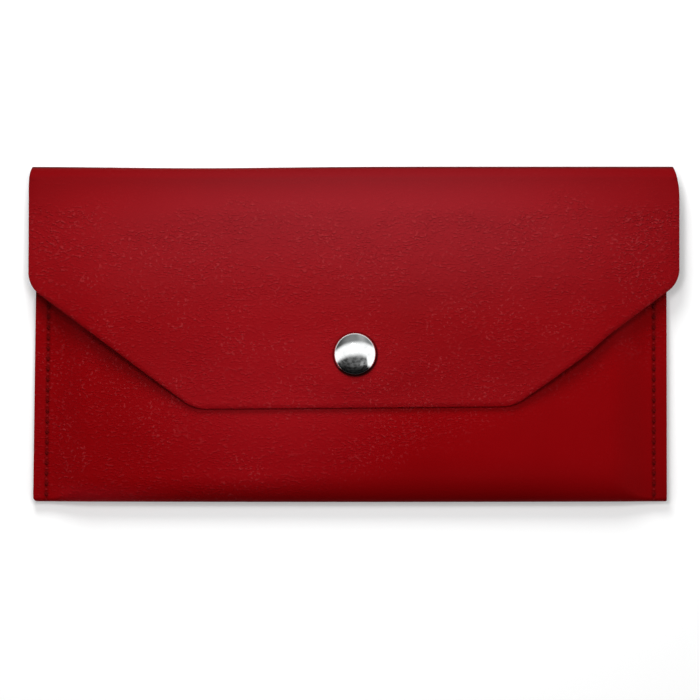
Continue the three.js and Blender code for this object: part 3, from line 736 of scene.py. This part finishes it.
backing, tree, shader = new_material(
    "brushed backing", Specular_IOR_Level=0.1,
    Sheen_Weight=0.12, Sheen_Roughness=0.6, Sheen_Tint=(0.9, 0.45, 0.45, 1),
)
place = object_place(tree)
nap = noise_of(tree, place, 2600.0, 5.0, 0.7)
fibre = noise_of(tree, place, 320.0, 3.0)
colour = mix_colour(tree, ramp(tree, nap, 0.3, 0.7), linear(74, 10, 16), linear(104, 18, 26))
colour = mix_colour(tree, ramp(tree, fibre, 0.35, 0.75, 0.0, 0.4), colour, linear(60, 8, 12))
rough = ramp(tree, fibre, 0.3, 0.7, 0.86, 0.96)
dress(tree, shader, colour, rough, nap, strength=0.6, distance=0.15 * mm)

edge_paint, tree, shader = new_material("edge paint", Specular_IOR_Level=0.08)
grained = use_group(tree, grain, Vector=object_place(tree), Cells_per_metre=1500.0, Creases=0.4)
cloud = grained["Cloud"]
colour = mix_colour(tree, ramp(tree, cloud, 0.3, 0.7), linear(78, 1, 5), linear(92, 4, 9))
rough = ramp(tree, cloud, 0.3, 0.7, 0.4, 0.55)
dress(tree, shader, colour, rough, grained["Height"], strength=0.3, distance=0.12 * mm)
leather_finishes = [red_leather, backing, edge_paint]

# %% [markdown]
# The back, the top fold and the flap are one run of leather. It is laid as one piece, so that the
# fold has no break.

# %% Back, fold and flap
FAR_FROM_SEAM = 20.0
COVER_EDGE = 0.37 * mm
TIP_ROWS = 5 * mm
ROW_SHARES = 0, 0.34, 0.47, 0.90, 1
EDGE_THIN_REACH = 0.8
CALM_AT_SNAP = 9 * mm
CALM_SNAP_FADE = 6 * mm
CALM_AT_FOLD = 6 * mm
CALM_FOLD_FADE = 14 * mm
CALM_AT_EDGE = 9 * mm
back_length = fold_centre_y - BACK_SPLIT_Y
fold_end = back_length + math.pi * fold_radius
run_end = fold_end + flap_length - fold_radius
row_ends = 0, back_length, fold_end, run_end - TIP_ROWS, run_end

cover = flat_blank("back_and_flap_leather", 170, 230)
u, v = grid_places(cover)
along = np.interp(v, ROW_SHARES, row_ends)
turn = np.clip((along - back_length) / fold_radius, 0, math.pi)
on_flap = along > back_length + 0.5 * math.pi * fold_radius
below_back = top_y - (BACK_SPLIT_Y + along)
below_fold = fold_radius * (1 - np.sin(turn))
below_flap = fold_radius + along - fold_end
below = np.where(along < fold_end, below_fold, below_flap)
below = np.where(along < back_length, below_back, below)
half = np.where(on_flap, flap_half_width(below), pocket_sides(u, below))
x = u * half
y = top_y - below
z_back = back_lift(x, below)
z_fold = fold_radius * (1 - np.cos(turn))
z_flap = flap_underside(x, below) + leather
z = np.where(along <= back_length, z_back, np.where(turn < math.pi, z_fold, z_flap))
to_edge = np.minimum((half - np.abs(x)) * EDGE_THIN_REACH, flap_length - below)
skive = np.where(on_flap, 1 - (1 - SKIVED) * np.clip(1 - to_edge / SKIVE_WIDTH, 0, 1) ** 2, 1)
lifted = wing_rise(x, below) - tip_fall(x, below) - leather * (1 - skive)
z = z + np.where(z_flap == z, lifted, 0)
near_snap = 1 - ease((np.hypot(x, below - SNAP_DROP) - CALM_AT_SNAP) / CALM_SNAP_FADE)
past_the_fold = ease((below - CALM_AT_FOLD) / CALM_FOLD_FADE)
loose = past_the_fold * ease(to_edge / CALM_AT_EDGE) * on_flap * (1 - near_snap)
z = z + RIPPLE * loose * ripple(np.stack([x, y * 1.4, z], axis=1), seed=1)
near_fold = (1 - ease(below / FLAP_FLARE)) * (along > back_length)
x = x + np.where(on_flap, 0, pocket_shift(below)) + FOLD_SHIFT * near_fold
y = y + plan_sag(x, y) + flap_tilt(x, below) * on_flap
lay_out(cover, x, y, z, flip=True)
seam_across = (np.abs(x - pocket_shift(below)) - seam_distance(below)) / PITCH
seam_along = (below - STITCH_TOP) / PITCH
sewn_here = (~on_flap) & (below > STITCH_TOP) & (below < STITCH_END)
seam_map(cover, np.where(sewn_here, seam_across, FAR_FROM_SEAM), seam_along)
finish_sheet(cover, COVER_EDGE, leather_finishes, skive)

# %% [markdown]
# The front panel comes up from the base fold. The fold is a long oval: steep against the table and
# drawn out over the front, which is why a wallet's lower edge darkens slowly. The pocket is full
# over the notes and closes down to the two seams.

# %% Front panel and base fold
FRONT_EDGE = 0.25 * mm
FLAT_SHARE, SIDE_SHARE = 0.36, 0.62
SEAM_BAND = 1.5 * mm
BACK_SHARE, ROLL_SHARE = 0.05, 0.24
PULL_WIDTH = 0.22
PULL_DEPTH = 0.16 * mm
UNDER_TIP_BELOW = 50 * mm
UNDER_TIP_FADE = 24 * mm
TIP_SIDE_FADE = 10 * mm


def roll_reach(half_thickness):
    return np.maximum(half_thickness, half_thickness**2 / BASE_ROLL_TIP)


def spread_columns(u, half):
    """More columns at the seams than over the flat middle."""
    flat_x, band_x = half - SEAM_INSET - SIDE_TAPER, half - SEAM_INSET - SEAM_BAND
    share = np.abs(u)
    flat = share / FLAT_SHARE * flat_x
    side = flat_x + (share - FLAT_SHARE) / (SIDE_SHARE - FLAT_SHARE) * (band_x - flat_x)
    band = band_x + (share - SIDE_SHARE) / (1 - SIDE_SHARE) * (half - band_x)
    return np.sign(u) * np.where(share < FLAT_SHARE, flat, np.where(share < SIDE_SHARE, side, band))


front = flat_blank("front_leather", 160, 200)
u, v = grid_places(front)
back_share = np.clip(v / BACK_SHARE, 0, 1)
angle = np.pi * (np.clip((v - BACK_SHARE) / (ROLL_SHARE - BACK_SHARE), 0, 1) - 0.5)
front_share = np.clip((v - ROLL_SHARE) / (1 - ROLL_SHARE), 0, 1)
on_back, in_roll = v < BACK_SHARE, v < ROLL_SHARE
side_half = leather + 0.5 * SEAM_GAP
nominal_front = plan_height - side_half - front_share * (plan_height - side_half - MOUTH_DROP)
nominal = np.where(
    on_back, plan_height - BACK_PART + back_share * (BACK_PART - side_half),
    np.where(in_roll, plan_height - side_half * (1 - np.cos(angle)), nominal_front),
)
x = spread_columns(u, pocket_sides(u, nominal))
half_thick = leather + 0.5 * pocket_gap(x, plan_height)
reach = np.where(angle < 0, half_thick, roll_reach(half_thick))
roll_y = base_y + reach * (1 - np.cos(angle))
y = np.where(
    on_back, BACK_SPLIT_Y + back_share * (base_y + half_thick - BACK_SPLIT_Y),
    np.where(in_roll, roll_y, roll_y + front_share * (top_y - MOUTH_DROP - roll_y)),
)
below = top_y - y
z = back_lift(x, plan_height) + half_thick * (1 + np.sin(angle))
on_front = ease((v - ROLL_SHARE + 0.05) / 0.12)
full_here = on_front * fullness(x, nominal)
z = z + full_rise(x, below) * full_here
seam_across = (np.abs(x) - seam_distance(nominal)) / PITCH
seam_along = (below - STITCH_TOP) / PITCH
sewn_here = ease((below - STITCH_TOP + mm) / mm) * ease((STITCH_END + mm - below) / mm)
pull = np.exp(-((seam_across / PULL_WIDTH) ** 2)) * (0.62 - 0.38 * np.cos(2 * np.pi * seam_along))
z = z - PULL_DEPTH * pull * sewn_here * np.sign(np.sin(angle) + 1e-9)
inside_tip = ease((0.5 * (flap_half + FLAP_TIP_HALF) - np.abs(x)) / TIP_SIDE_FADE)
under_tip = ease((below - UNDER_TIP_BELOW) / UNDER_TIP_FADE) * inside_tip
z = z + RIPPLE * 0.5 * full_here * under_tip * ripple(np.stack([x, y, z], axis=1), seed=2)
x = x + pocket_shift(below)
y = y + plan_sag(x, y)
lay_out(front, x, y, z, flip=False)
seam_map(front, np.where(sewn_here > 0.5, seam_across, FAR_FROM_SEAM), seam_along)
finish_sheet(front, FRONT_EDGE, leather_finishes, np.ones(len(x)))

# %% [markdown]
# A lockstitch shows as short lengths of thread that dip into the leather at both ends. One stitch
# is modelled as a bent, flattened tube, and copies of it are set along each seam.

# %% Thread finish
thread_finish, tree, shader = new_material("bonded thread", Specular_IOR_Level=0.04)
place = object_place(tree)
twist = add(
    tree, "ShaderNodeTexWave", {"bands_direction": "DIAGONAL"},
    Vector=place, Scale=620.0, Distortion=0.6,
).outputs["Fac"]
colour = mix_colour(tree, twist, (0.084, 0.0006, 0.0009, 1), (0.118, 0.0012, 0.0016, 1))
rough = ramp(tree, noise_of(tree, place, 3000.0, 3.0), 0.3, 0.7, 0.55, 0.75)
dress(tree, shader, colour, rough, twist, strength=0.7, distance=0.1 * mm)

# %% One stitch
STITCH_LENGTH = 1.7 * mm
THREAD_WIDE = 0.52 * mm
THREAD_HIGH = 0.2 * mm
STITCH_SINK = 0.32 * mm
STITCH_CUTS = -0.36, -0.2, 0.2, 0.36
STITCH_BED = 0.02 * mm


def one_stitch():
    bpy.ops.object.select_all(action="DESELECT")
    bpy.ops.mesh.primitive_cylinder_add(
        vertices=8, radius=1, depth=STITCH_LENGTH, end_fill_type="TRIFAN",
        rotation=(math.pi / 2, 0, 0),
    )
    stitch = bpy.context.active_object
    bpy.ops.object.transform_apply(location=True, rotation=True, scale=True)
    bpy.ops.object.mode_set(mode="EDIT")
    bpy.ops.mesh.select_all(action="SELECT")
    bpy.ops.transform.resize(value=(THREAD_WIDE, 1, THREAD_HIGH))
    bpy.ops.mesh.bisect(plane_co=(0, 0, 0), plane_no=(0, 1, 0))
    for cut in STITCH_CUTS:
        bpy.ops.mesh.select_all(action="SELECT")
        bpy.ops.mesh.bisect(plane_co=(0, cut * STITCH_LENGTH, 0), plane_no=(0, 1, 0))
    bpy.ops.object.mode_set(mode="OBJECT")
    for vertex in stitch.data.vertices:
        share = abs(vertex.co.y) / (0.5 * STITCH_LENGTH)
        dip = STITCH_SINK * share**3
        slim = 1 - 0.45 * share**4
        vertex.co.x *= slim
        vertex.co.z = vertex.co.z * slim - dip
    return stitch


def seam_row(name, side, up, node, body):
    """Copies of one stitch along a seam. side is -1 for the left seam, up is -1 under the back."""
    model = one_stitch()
    copies = []
    for k in range(STITCH_COUNT):
        below = STITCH_TOP + (k + 0.5) * PITCH
        x = side * seam_distance(below)
        lift = float(back_lift(x, below))
        face = lift + 2 * leather + SEAM_GAP if up > 0 else lift
        place = Vector((x + float(pocket_shift(below)), top_y - below, face - up * STITCH_BED))
        copy = model.copy()
        copy.data = model.data.copy()
        bpy.context.scene.collection.objects.link(copy)
        copy.data.transform(Matrix.Translation(place) @ Matrix.Diagonal((1, 1, up, 1)))
        if up < 0:
            copy.data.flip_normals()
        copies.append(copy)
    bpy.data.objects.remove(model)
    bpy.ops.object.select_all(action="DESELECT")
    for copy in copies:
        copy.select_set(True)
    bpy.context.view_layer.objects.active = copies[0]
    bpy.ops.object.join()
    row = bpy.context.active_object
    row.name = name
    row.data.name = name
    row.data.materials.append(thread_finish)
    bpy.ops.object.shade_smooth_by_angle(angle=math.radians(60))
    row.select_set(False)
    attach(row, body)
    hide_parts(node)
    print(name, STITCH_COUNT, "stitches")


# %% Four rows of stitches
seam_row("needle_stitches_left", -1, 1, "needle_thread_left", "pocket")
seam_row("needle_stitches_right", 1, 1, "needle_thread_right", "pocket")
seam_row("bobbin_stitches_left", -1, -1, "bobbin_thread_left", "pocket")
seam_row("bobbin_stitches_right", 1, -1, "bobbin_thread_right", "pocket")

# %% [markdown]
# Snap parts are pressed and turned from thin sheet. Each is a profile spun round the snap's axis,
# with enough steps that the bright dome mirrors the room without facets. The whole snap was set by
# hand a quarter of a millimetre off its mark.

# %% Snap metal
wear, metal = new_group("handled metal", Vector=None)
haze = noise_of(wear, metal["Vector"], 900.0, 5.0, 0.6)
lines = stretched(wear, metal["Vector"], (1.0, 14.0, 1.0), 0.7)
scratches = ramp(wear, noise_of(wear, lines, 520.0, 3.0), 0.62, 0.72)
group_gives(wear, Haze=haze, Scratch=scratches)
RIM_PAINTED_SHADE = (0.03, 0.032, 0.032, 1)
RIM_LOW, RIM_HIGH = 0.9 * mm, 1.4 * mm
RIM_FRONT, RIM_BACK = snap_middle.y - 4.4 * mm, snap_middle.y - 3.2 * mm


def metal_material(name, colour, dull, smoothest, roughest, rim=None):
    """A worn metal. rim is the foot of a dome, which gets painted shade on the side towards the base.
    """
    made, tree, shader = new_material(name, Metallic=1.0)
    place = object_place(tree)
    worn = use_group(tree, wear, Vector=place)
    haze = worn["Haze"]
    colour = mix_colour(tree, ramp(tree, haze, 0.35, 0.75), colour, dull)
    if rim is not None:
        _, y, z = split(tree, place)
        # Painted shade on the dome's foot, on the side towards the base.
        low = ramp(tree, z, rim + RIM_LOW, rim + RIM_HIGH, 1.0, 0.0)
        front_side = ramp(tree, y, RIM_FRONT, RIM_BACK, 1.0, 0.0)
        colour = mix_colour(tree, times(tree, low, front_side), colour, RIM_PAINTED_SHADE)
    rough = ramp(tree, haze, 0.3, 0.8, smoothest, roughest)
    rough = calc(tree, "ADD", rough, times(tree, worn["Scratch"], 0.05))
    dress(tree, shader, colour, rough, haze, strength=0.12, distance=0.05 * mm)
    return made


bright_nickel = metal_material(
    "bright nickel", (0.84, 0.85, 0.85, 1), (0.72, 0.73, 0.73, 1), 0.06, 0.13,
    rim=flap_high.z + 0.3 * mm,
)
snap_brass = metal_material("snap brass", (0.70, 0.60, 0.40, 1), (0.50, 0.41, 0.26, 1), 0.22, 0.38)
spring_wire = metal_material("spring wire", (0.55, 0.55, 0.56, 1), (0.40, 0.40, 0.41, 1), 0.2, 0.32)

# %% Snap sizes
socket_low, socket_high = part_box("snap_socket")
stud_low, stud_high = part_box("snap_stud")
eyelet_low, eyelet_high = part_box("snap_stud_eyelet")
spring_low, spring_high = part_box("snap_spring")
snap_x = snap_middle.x + SNAP_ASIDE
snap_y = snap_middle.y + SNAP_UP
cap_seat = flap_high.z + 0.05 * mm
print("snap at", round(snap_y / mm, 2), "mm, cap", round(2 * cap_radius / mm, 1), "mm across")


def arc_points(middle, height, radius, start, end, steps, high=None):
    """An arc in a (radius, height) profile, in degrees. An oval has its other half axis in high."""
    angles = [math.radians(start + (end - start) * k / steps) for k in range(steps + 1)]
    high = radius if high is None else high
    return [(middle + radius * math.cos(a), height + high * math.sin(a)) for a in angles]


def spin_round(piece, steps, angle, centre, smooth_angle):
    """Spins a profile round the snap's axis, closes it and turns its faces outwards."""
    bpy.context.view_layer.objects.active = piece
    piece.select_set(True)
    bpy.ops.object.mode_set(mode="EDIT")
    bpy.ops.mesh.select_all(action="SELECT")
    bpy.ops.mesh.spin(steps=steps, angle=angle, center=centre, axis=(0, 0, 1))
    bpy.ops.mesh.select_all(action="SELECT")
    bpy.ops.mesh.remove_doubles(threshold=1e-6)
    bpy.ops.mesh.normals_make_consistent(inside=False)
    bpy.ops.object.mode_set(mode="OBJECT")
    bpy.ops.object.shade_smooth_by_angle(angle=math.radians(smooth_angle))
    piece.select_set(False)


def spun(name, profile, steps, material, node, body):
    """A closed solid from a profile of (radius, height) points."""
    bpy.ops.object.select_all(action="DESELECT")
    mesh = bpy.data.meshes.new(name)
    points = [(snap_x + radius, snap_y, height) for radius, height in profile]
    closed = profile[0][0] > 0 and profile[-1][0] > 0
    last = len(points) - 1
    edges = [(k, k + 1) for k in range(last)] + ([(last, 0)] if closed else [])
    mesh.from_pydata(points, edges, [])
    piece = bpy.data.objects.new(name, mesh)
    bpy.context.scene.collection.objects.link(piece)
    spin_round(piece, steps, 2 * math.pi, (snap_x, snap_y, 0), 38)
    piece.data.materials.append(material)
    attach(piece, body)
    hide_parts(node)
    print(name, len(piece.data.polygons), "faces")


# %% Cap
CAP_ROLL = 0.45 * mm
CAP_SHEET = 0.4 * mm
POST_RADIUS = 1.6 * mm
POST_BORE = 1.1 * mm
FLARE_RADIUS = 2.3 * mm
FLARE_HIGH = 0.3 * mm
FLARE_ROUND = 0.15 * mm
SOFTEN = 0.1 * mm
dome_base = cap_seat + CAP_ROLL
dome_rise = cap_high.z - dome_base
inner_radius = cap_radius - CAP_ROLL - CAP_SHEET
dome = arc_points(0, dome_base, cap_radius, 90, 0, 40, high=dome_rise)[:-1]
dome[0] = (0, cap_high.z)
roll = arc_points(cap_radius - CAP_ROLL, dome_base, CAP_ROLL, 0, -90, 8)
inside = arc_points(0, dome_base, inner_radius, 4, 72, 12, high=dome_rise - CAP_SHEET)
inside = [p for p in inside if p[0] > POST_RADIUS + 0.2 * mm]
post = [
    (POST_RADIUS, inside[-1][1]),
    (POST_RADIUS, cap_low.z + FLARE_HIGH + SOFTEN),
    (POST_RADIUS + SOFTEN, cap_low.z + FLARE_HIGH),
    *arc_points(FLARE_RADIUS - FLARE_ROUND, cap_low.z + FLARE_ROUND, FLARE_ROUND, 90, -90, 6),
    (POST_BORE + FLARE_ROUND, cap_low.z),
    (POST_BORE, cap_low.z + FLARE_ROUND),
    (POST_BORE, cap_seat),
    (0, cap_seat),
]
cap_profile = [*dome, *roll, (inner_radius, cap_seat), *inside, *post]
spun("cap_dome", cap_profile, 96, bright_nickel, "snap_cap", "flap")

# %% Socket
SHEET = 0.4 * mm
SOCKET_BORE = 1.65 * mm
MOUTH_RADIUS = 2.7 * mm
GROOVE_RADIUS = 3.55 * mm
FLANGE_ROUND = 0.2 * mm
HOUSING_TURN = 0.3 * mm
HOUSING_ROUND = 0.25 * mm
LIP_ROUND = 0.14 * mm
LIP_HALF = 0.075 * mm
flange_end = socket_high.x - FLANGE_ROUND
housing = GROOVE_RADIUS + SHEET
floor_z = socket_high.z - SHEET
lip_z = socket_low.z + LIP_HALF
socket_profile = [
    (SOCKET_BORE, socket_high.z),
    (flange_end - SOFTEN, socket_high.z),
    *arc_points(flange_end, floor_z + FLANGE_ROUND, FLANGE_ROUND, 80, -90, 8),
    (housing + HOUSING_TURN + 0.05 * mm, floor_z),
    *arc_points(housing + HOUSING_TURN, floor_z - HOUSING_TURN, HOUSING_TURN, 90, 180, 6),
    *arc_points(housing - HOUSING_ROUND, socket_low.z + HOUSING_ROUND, HOUSING_ROUND, 0, -90, 6),
    *arc_points(MOUTH_RADIUS + LIP_ROUND, lip_z, LIP_ROUND, 270, 90, 8, high=LIP_HALF),
    (GROOVE_RADIUS, lip_z + LIP_HALF),
    (GROOVE_RADIUS, floor_z),
    (SOCKET_BORE, floor_z),
]
spun("socket_ring", socket_profile, 72, snap_brass, "snap_socket", "flap")

# %% Stud and eyelet
STUD_HEAD = 2.4 * mm
STUD_NECK = 2.05 * mm
STUD_BORE = 1.35 * mm
NECK_ROUND = 0.15 * mm
HEAD_ROUND = 0.35 * mm
EYELET_BORE = 0.9 * mm
EYELET_TUBE = 1.3 * mm
stud_top, stud_seat = stud_high.z, stud_low.z
stud_end = stud_high.x - FLANGE_ROUND
flange_z = stud_seat + 0.4 * mm
stud_rise = stud_top - flange_z
head_mid = flange_z + 0.62 * stud_rise
stud_profile = [
    (STUD_BORE, stud_seat),
    (stud_end, stud_seat),
    *arc_points(stud_end, stud_seat + FLANGE_ROUND, FLANGE_ROUND, -90, 90, 8),
    (STUD_NECK + NECK_ROUND + 0.05 * mm, flange_z),
    *arc_points(STUD_NECK + NECK_ROUND, flange_z + NECK_ROUND, NECK_ROUND, 270, 180, 4),
    (STUD_NECK, flange_z + 0.3 * stud_rise),
    *arc_points(STUD_HEAD - HEAD_ROUND, head_mid, HEAD_ROUND, -50, 90, 10, high=0.38 * stud_rise),
    (STUD_BORE + SOFTEN, stud_top),
    (STUD_BORE, stud_top - SOFTEN),
]
spun("stud_button", stud_profile, 72, bright_nickel, "snap_stud", "pocket")
eyelet_end = eyelet_high.x - FLANGE_ROUND
eyelet_seat = front_face_z - leather - 0.05 * mm
eyelet_profile = [
    (EYELET_BORE, eyelet_low.z + SOFTEN),
    (EYELET_BORE + SOFTEN, eyelet_low.z),
    (eyelet_end, eyelet_low.z),
    *arc_points(eyelet_end, eyelet_low.z + FLANGE_ROUND, FLANGE_ROUND, -80, 90, 8),
    (EYELET_TUBE, eyelet_seat),
    (EYELET_TUBE, eyelet_high.z - SOFTEN),
    (EYELET_TUBE - SOFTEN, eyelet_high.z),
    (EYELET_BORE, eyelet_high.z),
]
spun("stud_eyelet", eyelet_profile, 72, snap_brass, "snap_stud_eyelet", "pocket")

# %% [markdown]
# The ring spring is bent from round wire and left open by a narrow slot, so it isn't a closed
# ring. A small disc spun almost all the way round gives the wire.

# %% Ring spring
WIRE_RADIUS = 0.25 * mm
RING_RADIUS = 3.0 * mm
SLOT_ANGLE = 0.5
spring_z = 0.5 * (spring_low.z + spring_high.z)
wire_x = snap_x + RING_RADIUS * math.sin(0.5 * SLOT_ANGLE)
wire_y = snap_y - RING_RADIUS * math.cos(0.5 * SLOT_ANGLE)
bpy.ops.object.select_all(action="DESELECT")
bpy.ops.mesh.primitive_circle_add(
    vertices=14, radius=WIRE_RADIUS, fill_type="NGON", location=(wire_x, wire_y, spring_z),
    rotation=(math.pi / 2, 0, math.pi / 2 + 0.5 * SLOT_ANGLE),
)
ring = bpy.context.active_object
ring.name = "ring_spring"
ring.data.name = "ring_spring"
bpy.ops.object.transform_apply(location=True, rotation=True, scale=True)
spin_round(ring, 80, 2 * math.pi - SLOT_ANGLE, (snap_x, snap_y, spring_z), 50)
ring.data.materials.append(spring_wire)
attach(ring, "flap")
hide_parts("snap_spring")
spots = np.array([v.co for v in ring.data.vertices])
print("ring spring", [round(float(c) / mm, 2) for c in np.ptp(spots, axis=0)], "mm")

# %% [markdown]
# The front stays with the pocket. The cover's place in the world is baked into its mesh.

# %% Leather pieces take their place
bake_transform(cover)
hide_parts("flap_leather")
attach(front, "pocket")
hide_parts("pocket_leather")

# %% [markdown]
# The table is plain and pale, and shows white to the camera and in the metal. The room is a broad
# white ceiling strip over the wallet with greyer walls. The strip gives the dome its white band,
# and the dark room behind the camera, with painted shade on the cap's foot, gives it its dark foot.
# A bright line low beyond the fold gives it a thin light rim. One soft lamp beyond the fold and a
# small one over it draw the short shadows.

# %% Table
bpy.ops.object.select_all(action="DESELECT")
bpy.ops.mesh.primitive_plane_add(size=8, location=(0, 0, 0))
table = bpy.context.active_object
table.name = "table"
table_finish, tree, shader = new_material(
    "pale table", Roughness=0.9, Specular_IOR_Level=0.1,
    Base_Color=(0.86, 0.86, 0.86, 1), Emission_Color=(1, 1, 1, 1),
)
TABLE_GLOW = 0.21
path = add(tree, "ShaderNodeLightPath")
seen = calc(tree, "MAXIMUM", path.outputs["Is Camera Ray"], path.outputs["Is Glossy Ray"])
seen = calc(tree, "MAXIMUM", seen, path.outputs["Is Transmission Ray"])
tree.links.new(times(tree, seen, TABLE_GLOW), shader["Emission Strength"])
table.data.materials.append(table_finish)

# %% Room
CEILING_STRIP = 1.25
UPPER_TILT, UPPER_BOW = 0.10, 0.21
LOWER_TILT, LOWER_BOW = 0.06, 0.42
WALL_SHADE = 0.09
WALL_LEVEL = 0.25
WALL_GLOW = 0.18
DIM_ROOM = 0.09
DIM_RIGHT = 0.12
DARK_FOOT = 0.022
HORIZON = 0.8
DARKEST = 0.007
DIFFUSE_SHARE = 0.8
world = bpy.data.worlds.new("studio")
world.use_nodes = True
bpy.context.scene.world = world
tree = world.node_tree
way = add(tree, "ShaderNodeTexCoord").outputs["Generated"]
side, fold_way, upwards = split(tree, way)
side_squared = times(tree, side, side)
upper = calc(tree, "SUBTRACT", fold_way, times(tree, side, UPPER_TILT))
upper = calc(tree, "ADD", upper, times(tree, side_squared, UPPER_BOW))
lower = calc(tree, "ADD", fold_way, times(tree, side_squared, LOWER_BOW))
lower = calc(tree, "SUBTRACT", lower, times(tree, side, LOWER_TILT))
lower = calc(tree, "ADD", lower, ramp(tree, side, 0.40, 0.64, 0.0, 0.42))
strip_top = ramp(tree, upper, 0.31, 0.55, 1.0, 0.0)
strip = times(tree, strip_top, ramp(tree, lower, -0.17, 0.06))
patches = ramp(tree, noise_of(tree, way, 7.5, 4.0), 0.38, 0.62, 0.4, 1.9)
dim = calc(tree, "ADD", ramp(tree, side, 0.05, 0.32, 0.0, DIM_RIGHT), DIM_ROOM)
foot = ramp(tree, fold_way, -0.9, -0.5, DARKEST, DARK_FOOT)
dim = mix_value(tree, ramp(tree, fold_way, -0.60, -0.42), foot, dim)
dim = times(tree, dim, patches)
off_glow = calc(tree, "ABSOLUTE", calc(tree, "SUBTRACT", side, 0.33))
glow = ramp(tree, off_glow, 0.0, 0.3, WALL_GLOW, 0.0)
wall = calc(tree, "ADD", ramp(tree, side, -0.72, -0.26, WALL_SHADE, WALL_LEVEL), glow)
walls = mix_value(tree, ramp(tree, fold_way, 0.05, 0.30), dim, wall)
low_down = ramp(tree, upwards, 0.10, 0.30, 1.0, 0.0)
horizon = times(tree, low_down, ramp(tree, fold_way, 0.0, 0.3))
walls = mix_value(tree, horizon, walls, HORIZON)
level = mix_value(tree, strip, walls, CEILING_STRIP)
diffuse = add(tree, "ShaderNodeLightPath").outputs["Is Diffuse Ray"]
share = ramp(tree, diffuse, 0.0, 1.0, 1.0, DIFFUSE_SHARE)
background = tree.nodes["Background"].inputs
tree.links.new(times(tree, level, share), background["Strength"])
background["Color"].default_value = (1, 1, 1, 1)
print("room levels", CEILING_STRIP, HORIZON, WALL_LEVEL, DIM_ROOM, DARK_FOOT)

# %% Lamps
FAR_LAMP = Vector((-0.085, 0.42, 0.32))
NEAR_LAMP = Vector((-0.014, 0.065, 0.31))


def soft_lamp(name, place, aim, size, watts):
    data = bpy.data.lights.new(name, "AREA")
    data.shape = "DISK"
    data.size = size
    data.energy = watts
    made = bpy.data.objects.new(name, data)
    made.location = place
    made.rotation_euler = (aim - place).to_track_quat("-Z", "Y").to_euler()
    bpy.context.scene.collection.objects.link(made)
    return made


far_lamp = soft_lamp("lamp beyond the fold", FAR_LAMP, Vector((0, 0, 0)), 0.27, 2.28)
far_lamp.visible_glossy = False
soft_lamp("lamp over the fold", NEAR_LAMP, Vector((0, 0.02, 0)), 0.08, 0.267)
print("lamps", round(FAR_LAMP.length, 2), "m and", round(NEAR_LAMP.length, 2), "m away")
